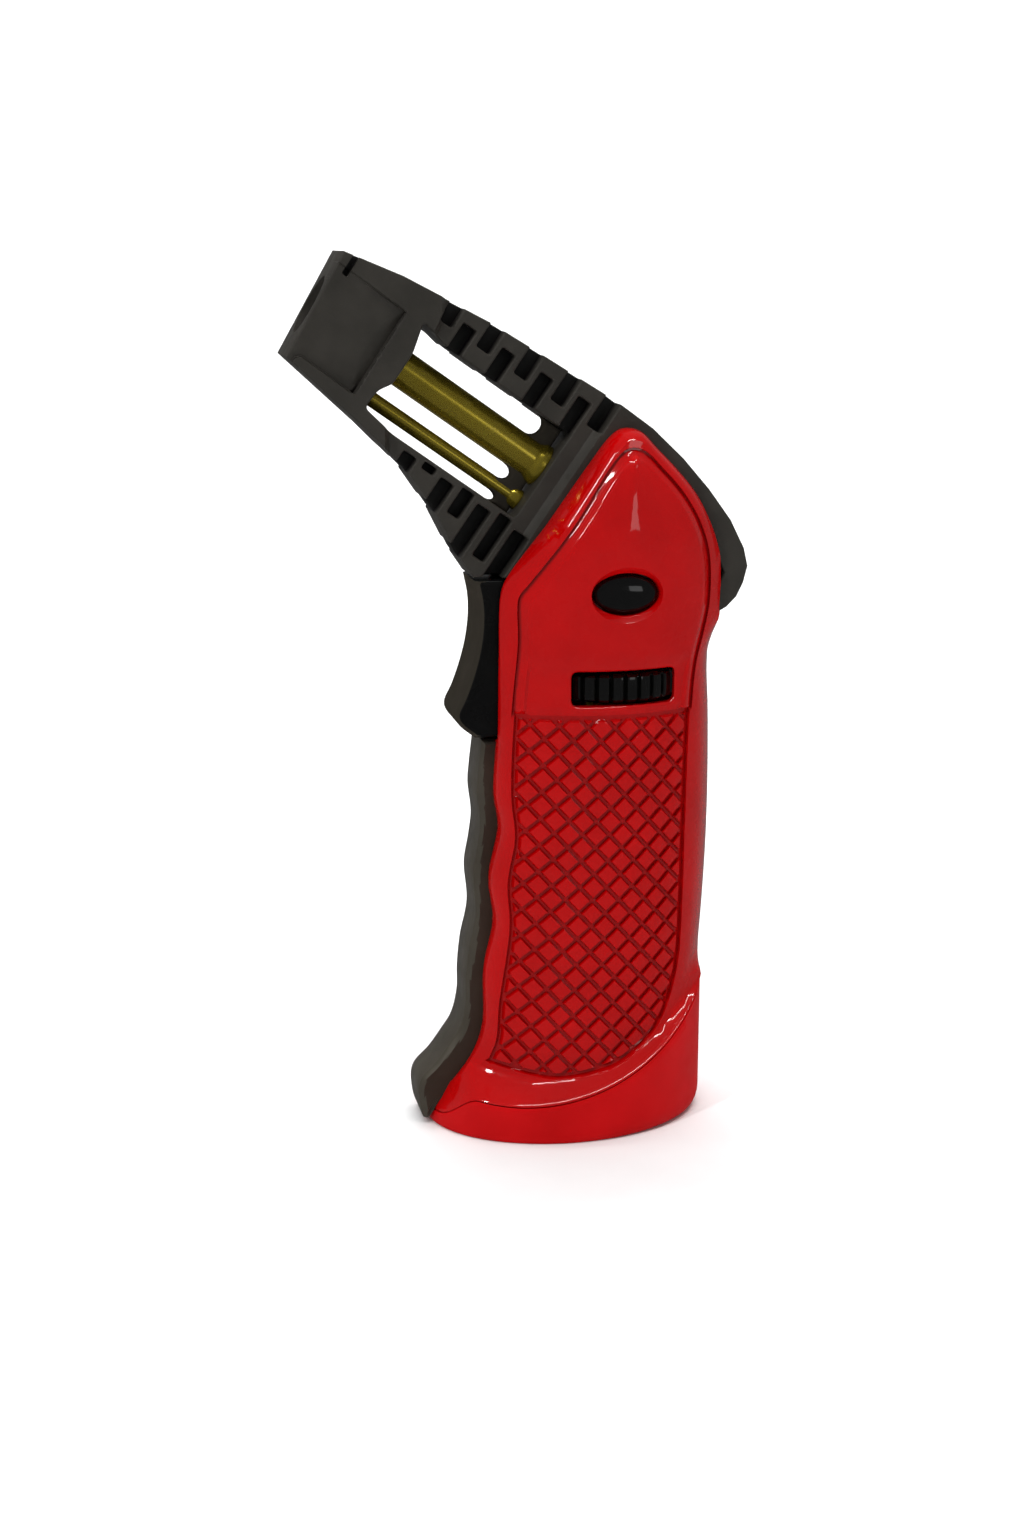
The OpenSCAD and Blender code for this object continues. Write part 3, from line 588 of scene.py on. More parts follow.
# how fast the flare over the foot fades out upwards, and how softly it joins the grip
FLARE_SLOPE = 1.6
FLARE_BLEND = 1.2
EDGE_GAPS = (0.12, 0.3, 0.6, 1.1, 1.8, 2.8, 4.2)
WINDOW_LOW, WINDOW_HIGH = (-2.0, 83.6), (18.0, 90.2)
WINDOW = rounded([WINDOW_LOW, (WINDOW_HIGH[0], WINDOW_LOW[1]), WINDOW_HIGH,
                  (WINDOW_LOW[0], WINDOW_HIGH[1])], 1.3)
SCREW_POINTS = [(21.6, 76), (21.2, 38), (13.5, 120.5)]
SCREW_WELL_R = 2.1
SCREW_WELL_FLOOR = 7.3
# the button's dish and the well inside it, as half width and half height
DISH = (6.8, 5.1)
WELL = (6.4, 3.95)
WELL_FLOOR = 9.9
BUTTON_BORE_R = 1.75


def crease(x):
    """Height of the line between the glossy shells and the matte foot."""
    arc = CREASE_CENTRE[1] - np.sqrt(CREASE_R**2 - (x - CREASE_CENTRE[0]) ** 2)
    dip = ease((-19.5 - x) / (-19.5 - TOE_X))
    return arc * (1 - dip) + TOE_Z * dip


def foot_half(x):
    """Half the foot's width at x."""
    return FOOT_B * np.maximum(1 - np.abs(x / FOOT_A) ** FOOT_POWER, 0) ** (1 / FOOT_POWER)


def crown(x, z):
    """Half the grip's thickness, before the foot's flare."""
    middle = 4.2 + (z - 50) * LEAN
    side = np.sqrt(np.maximum(CROWN_R**2 - (x - middle) ** 2, 120)) - (CROWN_R - GRIP_HALF)
    return side - 3 * ease((z - 112) / 21)


def shell_outline():
    """A shell's whole outline, and its front and rear edges as lines of their own."""
    xs = np.concatenate([np.linspace(TOE_X, -18, 9), np.linspace(-17, FOOT_A - 0.7, 44)])
    low = [(float(a), float(crease(a))) for a in xs]
    front = smooth_loop(SHELL_FRONT, 0.9, closed=False)
    rear = smooth_loop([low[-1]] + SHELL_REAR + [SHELL_FRONT[0]], 0.9, closed=False)
    return front + low[:-1] + rear[:-1], front, rear


OUTLINE, FRONT_LINE, REAR_LINE = shell_outline()
PANEL_LOOP = smooth_loop(PANEL, 0.8)


def lattice(x, z):
    """Cell coordinates of the padded weave: whole numbers at the pads' centres."""
    dx, dz = x - PAD_CENTRE[0], z - PAD_CENTRE[1]
    along, up = dx - LEAN * dz, dz + LEAN * dx
    return (along + up) / PAD_PITCH, (along - up) / PAD_PITCH


def from_lattice(p, q):
    """The point at cell coordinates (p, q)."""
    along, up = (p + q) * PAD_PITCH / 2, (p - q) * PAD_PITCH / 2
    dx = (along + LEAN * up) / (1 + LEAN**2)
    return PAD_CENTRE[0] + dx, PAD_CENTRE[1] + up - LEAN * dx


def pad_level(x, z):
    """0 in the grooves and 1 on the pads, and how many cells away the nearest pad's centre is."""
    p, q = lattice(x, z)
    reach = np.maximum(np.abs(p - np.round(p)), np.abs(q - np.round(q)))
    pads = (PAD_EDGES[1] - reach) / (PAD_EDGES[1] - PAD_EDGES[0])
    border = np.minimum(depth_in(x, z, PANEL_LOOP), WEAVE_TOP - z)
    clear = (border - PAD_BORDER[0]) / (PAD_BORDER[1] - PAD_BORDER[0])
    return np.clip(np.minimum(pads, clear), 0, 1), reach


def shell_surface(x, z):
    """The smooth surface of a shell, before its panel and weave."""
    body = crown(x, z)
    flare = foot_half(x) - FLARE_SLOPE * (z - crease(x))
    surface = 0.5 * (body + flare + np.hypot(body - flare, FLARE_BLEND))
    to_front = distance(x, z, FRONT_LINE, closed=False)
    to_rear = distance(x, z, REAR_LINE, closed=False)
    above = z - crease(x)
    low_rear = ease((99.5 - z) / 9)
    rear_edge = SPINE_HALF + 0.5 - (SPINE_HALF + 0.5 - SEAM) * low_rear
    rear_width = (2 + 3.5 * low_rear) * ease(above / 7) + 0.05
    front_edge = np.where(z > 76, 7.9, 7.2)
    front_width = 2.0 * ease(above / 7) + 0.05
    for gap, edge, width in ((to_front, front_edge, front_width), (to_rear, rear_edge, rear_width)):
        edge = np.minimum(edge, surface - 0.1)
        t = np.clip(gap / width, 0, 1)
        surface = edge + (surface - edge) * np.sqrt(1 - (1 - t) ** 2)
    return surface


def ridge_x(z):
    """Where the tent's ridge lies at height z."""
    return 8 + (z - 112) * 0.105


def panel_relief(x, z):
    """Height of the panel's step, tent and weave above the smooth surface."""
    s = depth_in(x, z, PANEL_LOOP)
    upper = ramp(s, [(-0.5, 0), (-0.35, -GROOVE_DEPTH), (-0.05, -GROOVE_DEPTH),
                     (1.35, PANEL_RAISE)])
    half = np.maximum((130.5 - z) * 0.75, 1.0)
    slope = np.clip(1 - np.abs(x - ridge_x(z)) / half, 0, 1)
    tent = TENT_HEIGHT * ease((z - RIDGE_LOW) / 18) * slope
    scoop = -1.0 * ease((93 - z) / 3.5) * ease((s - 0.8) / 1.5)
    upper = upper + tent * ease(s / 2) + scoop
    pads, reach = pad_level(x, z)
    lower = ramp(s, [(0, 0), (0.3, -POCKET_DEPTH)])
    woven = (s > 0.3) & (z < WEAVE_TOP - 0.1)
    pillow = pads * (PAD_HEIGHT + PAD_CROWN * np.clip(1 - (reach / PAD_EDGES[0]) ** 2, 0, 1))
    lower = lower + np.where(woven, pillow, 0)
    return np.where(z > WEAVE_TOP, upper, lower)


def button_dish(x, z):
    """The dish's height, 0 or less, round the lock button, and whether a point is in its well."""
    dx, dz = x - BUTTON.x, z - BUTTON.z
    out = np.hypot(dx / DISH[0], dz / DISH[1])
    well = np.hypot(dx / WELL[0], dz / WELL[1])
    t = np.clip((1 - out) / np.maximum((1 - out) + (well - 1), 1e-6), 0, 1)
    return -1.2 * np.where(out < 1, t, 0), well < 0.985


def shell_heights(side):
    """A shell's outer and inner height functions."""
    def outer(x, z):
        y = shell_surface(x, z) + panel_relief(x, z)
        window = distance(x, z, WINDOW)
        y = y - 0.35 * np.clip(1 - window / 0.45, 0, 1) ** 2
        above = z - crease(x)
        y = y - 0.3 * np.clip(1 - above / 0.3, 0, 1) * (above < 0.3)
        if side < 0:
            dish, well = button_dish(x, z)
            y = np.where(well, WELL_FLOOR, y + dish)
        else:
            for p in SCREW_POINTS:
                far = np.hypot(x - p[0], z - p[1])
                y = y - 0.25 * np.clip(1 - (far - SCREW_WELL_R) / 0.3, 0, 1)
                y = np.where(far < SCREW_WELL_R - 0.02, SCREW_WELL_FLOOR, y)
        return y

    def inner(x, z):
        y = shell_surface(x, z) - SHELL_WALL
        floor = np.where(z > WAIST_Z, SPINE_HALF + 0.12, SEAM)
        floor = np.where((x > 24.5) & (z < 99.6), SEAM, floor)
        floor = np.where((x < -7) & (z <= WAIST_Z), np.where(z > 76, 7.35, 5.65), floor)
        y = np.maximum(y, floor)
        if side < 0:
            near = np.hypot((x - BUTTON.x) / 7.2, (z - BUTTON.z) / 5.0) < 1
            y = np.where(near, WELL_FLOOR - WELL_WALL, y)
        else:
            for p in SCREW_POINTS:
                near = np.hypot(x - p[0], z - p[1]) < SCREW_WELL_R + 0.9
                y = np.where(near & (z < WAIST_Z), SCREW_WELL_FLOOR - WELL_WALL, y)
        return y

    return outer, inner


def weave_lines(plan):
    """Adds the edges and the middles of the pads as lines, cut where they leave the pocket."""
    run = np.arange(-CELLS, CELLS + 1, 0.25)
    for k in range(-CELLS, CELLS + 1):
        for side in (-PAD_EDGES[1], -PAD_EDGES[0], 0.0, PAD_EDGES[0], PAD_EDGES[1]):
            for flip in (False, True):
                pts = np.array([from_lattice(k + side, r) if flip else from_lattice(r, k + side)
                                for r in run])
                deep = np.minimum(depth_in(pts[:, 0], pts[:, 1], PANEL_LOOP), WEAVE_TOP - pts[:, 1])
                plan.row([tuple(p) if d > 0.5 else None for p, d in zip(pts.tolist(), deep)])


def shell_shade_level(x, z):
    """How much of the full colour shows: less in the grooves, where shade is painted."""
    pads, _ = pad_level(x, z)
    s = depth_in(x, z, PANEL_LOOP)
    woven = (s > 0.15) & (z < WEAVE_TOP)
    groove = (s > -0.42) & (s < 0.05) & (z > WEAVE_TOP)
    return np.where(groove, 0.15, np.where(woven, 0.62 + 0.38 * pads, 1.0))


def make_shell(node, side):
    plan = Plan(OUTLINE)
    plan.rows(OUTLINE, EDGE_GAPS)
    plan.rows(PANEL_LOOP, (-0.5, -0.35, -0.05, 0.3, *PAD_BORDER, 1.35, 2.0))
    plan.hole(WINDOW, (-0.12, -0.28, -0.45))
    for z in (WEAVE_TOP - PAD_BORDER[1], WEAVE_TOP - PAD_BORDER[0], WEAVE_TOP - 0.1, WEAVE_TOP):
        plan.row([(a, z) for a in np.arange(-11.6, 21.6, 0.8)])
    for k in range(12):
        z = RIDGE_LOW + 2 * k
        plan.row([(ridge_x(z), z)])
    if side < 0:
        for a, b in ((7.15, 5.45), DISH, (6.6, 4.5), WELL, (WELL[0] * 0.98, WELL[1] * 0.975)):
            plan.row(ellipse(BUTTON.x, BUTTON.z, a, b), closed=True)
        plan.hole(ellipse(BUTTON.x, BUTTON.z, BUTTON_BORE_R, BUTTON_BORE_R, 0.4))
    else:
        for p in SCREW_POINTS:
            for r in (SCREW_WELL_R + 0.3, SCREW_WELL_R, SCREW_WELL_R - 0.04):
                plan.row(ellipse(p[0], p[1], r, r, 0.4), closed=True)
    weave_lines(plan)
    plan.fill(1.0, lambda x, z: (z > WEAVE_TOP + 0.4) | (depth_in(x, z, PANEL_LOOP) < -0.5))
    outer, inner = shell_heights(side)
    bm = plan.solid(outer, inner, side, shell_shade_level)
    piece(node, bm, "housing", [RED_GLOSS])


make_shell("left_shell", -1)
make_shell("right_shell", 1)

# ---- the foot ----
FOOT_SIDES = 160
FOOT_LIP = 1.6
FOOT_PLATE = (0.5, 2.6)
FILL_HOLE_R = 4.3


def make_foot():
    """A skirt under the crease, closed by a plate with a hole round the filling valve."""
    bm = bmesh.new()
    fill_x = middle_mm("fill_valve_body").x
    turns = [2 * math.pi * k / FOOT_SIDES for k in range(FOOT_SIDES)]
    rows = []

    def ring(inset, height):
        made = []
        for t in turns:
            c, s = math.cos(t), math.sin(t)
            a, b = FOOT_A - inset(c), FOOT_B - inset(c)
            x = a * math.copysign(abs(c) ** (2 / FOOT_POWER), c)
            y = b * math.copysign(abs(s) ** (2 / FOOT_POWER), s)
            made.append(bm.verts.new((x, y, height(x))))
        rows.append(made)

    def round_r(x):
        return 1.0 + 3.0 * float(ease((x + 5) / 30))

    def top(x):
        return float(crease(np.array(max(x, TOE_X)))) - 0.05

    ring(lambda c: FOOT_LIP, lambda x: FOOT_PLATE[1])
    ring(lambda c: FOOT_LIP, lambda x: top(x) - 0.6)
    ring(lambda c: 0.6, lambda x: top(x) - 0.25)
    ring(lambda c: 0.12, lambda x: top(x) - 0.15)
    ring(lambda c: 0.0, lambda x: top(x) - 0.4)
    for k in range(1, 7):
        ring(lambda c: 0.0, lambda x, f=k / 7: top(x) - 0.4 - f * (top(x) - 0.4 - round_r(x)))
    for k in range(7):
        turn = math.pi / 2 * k / 6
        ring(lambda c, t=turn: round_r(c * FOOT_A) * 0.55 * (1 - math.cos(t)),
             lambda x, t=turn: round_r(x) * (1 - math.sin(t)))
    ring(lambda c: 4.5, lambda x: 0.0)
    ring(lambda c: 4.9, lambda x: FOOT_PLATE[0])
    hole = [(fill_x + FILL_HOLE_R * math.cos(t), FILL_HOLE_R * math.sin(t)) for t in turns]
    rows.append([bm.verts.new(((v.co.x + x) / 2, (v.co.y + y) / 2, FOOT_PLATE[0]))
                 for v, (x, y) in zip(rows[-1], hole)])
    rows.append([bm.verts.new((x, y, FOOT_PLATE[0])) for x, y in hole])
    rows.append([bm.verts.new((v.co.x, v.co.y, FOOT_PLATE[1])) for v in rows[-1]])
    for here, there in zip(rows, rows[1:] + rows[:1]):
        for k in range(FOOT_SIDES):
            n = (k + 1) % FOOT_SIDES
            bm.faces.new([here[k], here[n], there[n], there[k]])
    bmesh.ops.recalc_face_normals(bm, faces=bm.faces)
    piece("base_foot", bm, "housing", [RED_MATTE], angle=40)


make_foot()

# ---- the head frame ----

FRAME_OUTER = [(-41.5, 165), (-52, 147), (-38.5, 134.5), (-31, 127), (-25.5, 119), (-22, 112),
               (-18.5, 106.8), (-9.2, 106.8), (-9.6, 109.4), (3.2, 127.6), (11.5, 127.6),
               (19.5, 121.4), (26, 112.6), (28.9, 106.6), (26.3, 99.5), (24.9, 92.6),
               (25.6, 92.6), (26.2, 97), (27.6, 98.9), (29.6, 100.0), (31.4, 101.8),
               (32.7, 104.4), (33.5, 107.6), (32.7, 111), (30, 116.3), (25.7, 122.1),
               (20.7, 127.8), (14.8, 133.4), (6.9, 139.1), (-6.5, 147.3), (-15.3, 152.6),
               (-31, 160.7)]
WINDOW_END_U = 13.5
FRAME_WINDOW = [uv(-20.5, 8.6), uv(-14, 7.5), uv(WINDOW_END_U, 7.5), uv(WINDOW_END_U, -10.7),
                uv(-14, -10.7), uv(-20.8, -9.6), uv(-20.6, -5.9), uv(-19, -3.4), uv(-19, 2.9)]
HEAD_BLOCK = [(-60, 120), (-34.9, 120), (-34.9, 136.2), (-26.4, 150), (-24.4, 154), (-24.4, 175),
              (-60, 175)]
SPINE = [(-13, 107), (11, 141), (50, 141), (50, 80), (-13, 80)]
HEAD_POCKET = [uv(-42, 8.4), uv(-24.1, 8.2), uv(-23.7, -8.8), uv(-35.2, -8.5), uv(-36.0, -9.4),
               uv(-35.9, -14), uv(-42, -14)]
FRONT_NOTCH = [uv(-37.2, 7.2), uv(-36.0, 7.2), uv(-36.0, 14), uv(-37.2, 14)]
NOZZLE_BORE_R = 5.6
NOZZLE_BACK_U = -23.5
# where lines run along the bore, as shares of its radius
BORE_SHARES = (0.99, 0.94, 0.85, 0.7, 0.5, 0.25)
EDGE_ROUND = 0.35
SLOT_FLOOR = 3.0
SLOT_WALL = 0.06
SLOT_LIP = 0.25
NOTCH_DEPTH = 1.9
FRAME_SCREWS = [(-30.5, 156.5), (31.1, 107.4)]
FRAME_WELL_R = 1.6
FRAME_WELL_FLOOR = 4.6
# deeper than any point lies outside a slot
FAR_OUT = -9.0


def rail_slots():
    """The outlines of the two rails' slots."""
    # each slot is (u of its middle, v0, v1, width)
    slots = [(-16.9 + 8.3 * i, 10.6, 19.6, 3.0) for i in range(5)]
    slots += [(-12.8 + 8.3 * i, 5.6, 12.8 + 0.45 * i, 2.9) for i in range(4)]
    slots += [(-9.0 + 8.35 * i, -27.0, -11.8 - 0.2 * i, 3.0) for i in range(4)]
    slots += [(-4.8 + 8.4 * i, -12.8 - 3.9 * i, -11.3, 2.7) for i in range(3)]
    return [rounded([uv(u - w / 2, v0), uv(u + w / 2, v0), uv(u + w / 2, v1), uv(u - w / 2, v1)],
                    0.5) for u, v0, v1, w in slots]


def deepest_in(x, z, loops):
    """How deep each point lies in whichever loop holds it, negative outside them all."""
    deep = np.full(len(x), FAR_OUT)
    for loop in loops:
        deep = np.maximum(deep, depth_in(x, z, loop))
    return deep


def make_frame(node, side):
    outline = straight_loop(FRAME_OUTER, 1.2)
    window = rounded(FRAME_WINDOW, 0.9, 0.9)
    slots = rail_slots()
    notch = rounded(FRONT_NOTCH, 0.3)
    pocket = straight_loop(HEAD_POCKET, 0.9)
    plan = Plan(outline)
    plan.rows(outline, (0.1, 0.22, EDGE_ROUND))
    plan.hole(window, (-0.1, -0.22, -EDGE_ROUND))
    for slot in slots + [notch]:
        plan.rows(slot, (-SLOT_LIP, -0.1, 0, SLOT_WALL))
    plan.rows(pocket, (-0.25, -0.1, 0, 0.1, 0.6, 1.3, 2.2, 3.2))
    head = straight_loop(HEAD_BLOCK, 1.5)
    spine = straight_loop(SPINE, 1.5)
    plan.rows(head, (-1.2, -0.8, -0.1))
    plan.rows(spine, (-1.4, -0.9, -0.1))
    for share in (1, *BORE_SHARES, 0, *(-s for s in reversed(BORE_SHARES)), -1):
        v = NOZZLE_BORE_R * share
        along = [*np.arange(-40, NOZZLE_BACK_U + 0.1, 1.5), NOZZLE_BACK_U]
        plan.row([uv(u, v) for u in along])
    for u in (NOZZLE_BACK_U, NOZZLE_BACK_U + 0.06):
        plan.row([uv(u, v) for v in np.linspace(-NOZZLE_BORE_R, NOZZLE_BORE_R, 15)])
    if side > 0:
        for p in FRAME_SCREWS:
            for r in (FRAME_WELL_R + 0.3, FRAME_WELL_R, FRAME_WELL_R - 0.04):
                plan.row(ellipse(p[0], p[1], r, r, 0.35), closed=True)
    plan.fill(1.3)

    def outer(x, z):
        u, v = to_uv(x, z)
        y = np.full(len(x), RAIL_HALF)
        in_head = depth_in(x, z, head)
        y = np.where(in_head > -1.2, HEAD_HALF - (HEAD_HALF - RAIL_HALF) * ease(-in_head / 1.2), y)
        in_spine = depth_in(x, z, spine)
        y = np.maximum(y, RAIL_HALF + (SPINE_HALF - RAIL_HALF) * ease(1 + in_spine / 1.4))
        in_pocket = depth_in(x, z, pocket)
        drop = 0.1 + 0.5 * np.clip((8.4 - v) / 17, 0, 1) + 0.75 * ease((u + 36) / 12)
        wedge = np.maximum(2.6 * (1 - (v / 8.4) ** 2), 0.2)
        drop = drop + 0.55 * np.clip(1 - (NOZZLE_BACK_U - 0.4 - u) / wedge, 0, 1)
        y = y - drop * np.clip(in_pocket / 0.1, 0, 1)
        y = y - 0.2 * np.clip(1 + in_pocket / 0.25, 0, 1) * (in_pocket < 0)
        deep = deepest_in(x, z, slots)
        y = y - 0.22 * np.clip(1 + deep / SLOT_LIP, 0, 1) ** 2 * (deep <= 0)
        sunk = np.minimum(y, y + (SLOT_FLOOR - y) * np.clip(deep / SLOT_WALL, 0, 1))
        y = np.where(deep > 0, sunk, y)
        y = y - NOTCH_DEPTH * np.clip(depth_in(x, z, notch) / SLOT_WALL, 0, 1)
        edge = np.minimum(distance(x, z, outline), distance(x, z, window))
        cut = np.clip(1 - edge / EDGE_ROUND, 0, 1)
        y = y - EDGE_ROUND * (1 - np.sqrt(1 - cut**2))
        if side > 0:
            for p in FRAME_SCREWS:
                far = np.hypot(x - p[0], z - p[1])
                rim = y - 0.2 * np.clip(1 - (far - FRAME_WELL_R) / 0.3, 0, 1)
                y = np.where(far < FRAME_WELL_R - 0.02, FRAME_WELL_FLOOR, rim)
        return y

    def inner(x, z):
        u, v = to_uv(x, z)
        bore = np.sqrt(np.maximum(NOZZLE_BORE_R**2 - v**2, 0))
        return np.where(u < NOZZLE_BACK_U + 0.03, np.maximum(bore, SEAM), SEAM)

    # painted shade: darker inside the slots and the notch
    def level(x, z):
        return 1 - 0.85 * np.clip(deepest_in(x, z, slots + [notch]) / SLOT_WALL, 0, 1)

    bm = plan.solid(outer, inner, side, level)
    piece(node, bm, "housing", [FRAME_BLACK], angle=24)


make_frame("frame_left", -1)
make_frame("frame_right", 1)

# ---- the front strip ----

STRIP_FRONT = [(-16.9, 76), (-17.6, 70), (-17.9, 66), (-17.3, 60), (-17.8, 55.5), (-18.7, 50),
               (-18.2, 42), (-19.6, 35), (-20.2, 29), (-20.3, 24), (-21.5, 19), (-23.4, 16),
               (-26, 12.4), (-29, 9.2), (-29.6, 6.6), (-28.6, 1.2), (-27.6, 0.9)]
STRIP_REAR = [(-27.2, 4.8), (-21.6, 10.5), (-18.6, 15), (-17.4, 19), (-17, 31), (-15.1, 41),
              (-15.9, 49), (-14.1, 59.5), (-14.9, 66), (-14.4, 76)]
# how far the strip reaches back under the shells, and the spacing of its finger waves
STRIP_TUCK = 1.6
WAVE_PITCH = 15.5


def make_strip():
    front = smooth_loop(STRIP_FRONT, 0.6, closed=False)
    rear = smooth_loop([(x + STRIP_TUCK, z) for x, z in STRIP_REAR], 0.8, closed=False)
    outline = front + rear
    plan = Plan(outline)
    plan.rows(outline, (0.15, 0.4, 0.7, 1.0, 1.35))
    plan.fill(0.9)

    def outer(x, z):
        gap = distance(x, z, front, closed=False)
        wave = 0.5 + 0.5 * np.cos(2 * np.pi * (z - 50) / WAVE_PITCH)
        width = 0.7 + 0.6 * wave
        fall = 0.85 * np.clip(1 - gap / width, 0, 1)
        return STRIP_HALF - fall - 0.25 * np.clip(1 - gap / 0.15, 0, 1)

    bm = plan.solid(outer, lambda x, z: -outer(x, z), -1)
    # the side faces get the brownish painted reflection of the shells
    for face in bm.faces:
        if abs(face.normal.y) > 0.93:
            face.material_index = 1
    piece("front_grip", bm, "housing", [GUNMETAL, STRIP_SIDE_PAINTED_REFLECTION], angle=28)


make_strip()

# ---- the trigger ----

TRIGGER_FRONT_LINE = [(-18.3, 106.2), (-17.5, 102), (-17.4, 98.5), (-17.9, 94), (-19, 89.5),
                      (-20.7, 84.7), (-22, 82), (-22.1, 80.8), (-21.3, 79.2), (-18.4, 76.8)]
TRIGGER_BACK_LINE = [(-18.4, 76.8), (-14, 77.2), (-12.6, 78), (-12.6, 106.2), (-18.3, 106.2)]
# two arms reach back from the trigger on either side of the piezo unit, and a bar meets its plunger
ARM_Y = 6.05
ARM_HALF = 0.85
ARM_START_X = -13
ARM_LOW_Z = 100.2
PUSH_BAR_HALF = 2.9
PUSH_BAR_TOP = 105.4


def make_trigger():
    front = smooth_loop(TRIGGER_FRONT_LINE, 0.7, closed=False)
    back = straight_loop(TRIGGER_BACK_LINE, 1.0, closed=False)
    outline = front[:-1] + back[:-1]
    plan = Plan(outline)
    plan.rows(outline, (0.15, 0.35, 0.7, 1.1))
    plan.fill(1.0)

    def outer(x, z):
        gap = distance(x, z, front, closed=False)
        edge = distance(x, z, outline)
        y = TRIGGER_HALF - 0.9 * np.clip(1 - gap / 1.1, 0, 1) ** 1.5
        return y - 0.2 * np.clip(1 - edge / 0.35, 0, 1) ** 2

    bm = plan.solid(outer, lambda x, z: -outer(x, z), -1)
    for face in bm.faces:
        if abs(face.normal.y) < 0.8 and face.normal.x < 0:
            face.material_index = 1
    high = box_mm("trigger")[1]
    rod_x = box_mm("piezo_plunger")[0].x
    soft_box(bm, (ARM_START_X, -PUSH_BAR_HALF, ARM_LOW_Z),
             (rod_x, PUSH_BAR_HALF, PUSH_BAR_TOP), 0.3)
    for s in (-1, 1):
        y0, y1 = s * ARM_Y - ARM_HALF, s * ARM_Y + ARM_HALF
        soft_box(bm, (ARM_START_X, y0, ARM_LOW_Z), (9.2, y1, 103.2), 0.2)
        soft_box(bm, (ARM_START_X, y0, 102.9), (2.2, y1, high.z), 0.2)
        soft_box(bm, (1.9, y0, 105.3), (high.x, y1, high.z), 0.15)
        soft_box(bm, (9.3, y0, 104.8), (high.x, y1, high.z), 0.15)
    piece("trigger", bm, "trigger_unit", [TRIGGER_BLACK, TRIGGER_FRONT], angle=28)


make_trigger()

# ---- the flame wheel ----
WHEEL_RIDGES = 36
WHEEL_GROOVE = 0.75


def make_wheel():
    bm = bmesh.new()
    r = WHEEL_R
    profile = [(3.1, 0), (r - 1.6, 0), (r - 0.7, 0.15), (r - 0.1, 0.7), (r, 1.4),
               (r, WHEEL_T - 1.4), (r - 0.1, WHEEL_T - 0.7), (r - 0.7, WHEEL_T - 0.15),
               (r - 1.6, WHEEL_T), (12.5, WHEEL_T), (12.3, 1.6), (5.2, 1.6), (5.0, WHEEL_T),
               (3.1, WHEEL_T)]

    def radius(j, base, turn):
        # only the rim, points 2 to 7 of the profile, is grooved
        if not 2 <= j <= 7:
            return base
        phase = abs((turn * WHEEL_RIDGES / (2 * math.pi)) % 1 - 0.5) * 2
        return base - WHEEL_GROOVE * float(ease((phase - 0.62) / 0.3))

    place = Matrix.Translation((WHEEL.x, WHEEL.y, WHEEL_LOW.z))
    lathe(bm, profile, place, WHEEL_RIDGES * 12, radius)
    piece("flame_wheel", bm, "wheel", [GLOSS_BLACK], angle=35)


make_wheel()

# ---- the lock button ----
SHAFT_R = 1.65
DOME_Y = 14.3
DOME_STEPS = 9
BUTTON_SIDES = 72


def make_button():
    low, high = box_mm("lock_button")
    a, b = (high.x - low.x) / 2, (high.z - low.z) / 2
    # (half width, half height, distance out from the middle), from the shaft to the domed face
    levels = [(SHAFT_R, SHAFT_R, 10.9), (SHAFT_R, SHAFT_R, 12.6), (a * 0.95, b * 0.95, 12.6),
              (a, b, 12.8), (a, b, DOME_Y)]
    for k in range(1, DOME_STEPS):
        t = math.pi / 2 * k / DOME_STEPS
        levels.append((a * math.cos(t), b * math.cos(t), DOME_Y + (-low.y - DOME_Y) * math.sin(t)))
    bm = bmesh.new()
    rings = []
    for rx, rz, y in levels:
        turns = [2 * math.pi * k / BUTTON_SIDES for k in range(BUTTON_SIDES)]
        rings.append([bm.verts.new((BUTTON.x + rx * math.cos(t), -y, BUTTON.z + rz * math.sin(t)))
                      for t in turns])
    for here, there in zip(rings, rings[1:]):
        for k in range(BUTTON_SIDES):
            n = (k + 1) % BUTTON_SIDES
            bm.faces.new([here[k], here[n], there[n], there[k]])
    bm.faces.new(list(reversed(rings[0])))
    bm.faces.new(rings[-1])
    shaft = [(0.01, 7.3), (0.7, 7.3), (0.7, 9.1), (SHAFT_R, 9.1), (SHAFT_R, 10.9), (0.01, 10.9)]
    place = Matrix.Translation((BUTTON.x, 0, BUTTON.z)) @ Matrix.Rotation(math.pi / 2, 4, "X")
    lathe(bm, shaft, place, 32)
    bmesh.ops.recalc_face_normals(bm, faces=bm.faces)
    piece("lock_button", bm, "lock", [GLOSS_BLACK], angle=40)


make_button()

# ---- tubes, collars and nozzle ----
BURNER_R = 3.4
CONDUIT_R = 1.4
TUBE_END_U = 24.0


def make_brass(node, profile, u, v, sides):
    bm = bmesh.new()
    lathe(bm, profile, tube_place(u, v), sides)
    piece(node, bm, "housing", [BRASS])


def make_tube(node, outer_r, wall, start_u, length, v, sides):
    """A plain tube, from start_u down the tubes' direction."""
    inner_r = outer_r - wall
    profile = [(inner_r, 0), (outer_r, 0), (outer_r, length), (inner_r, length)]
    make_brass(node, profile, start_u, v, sides)


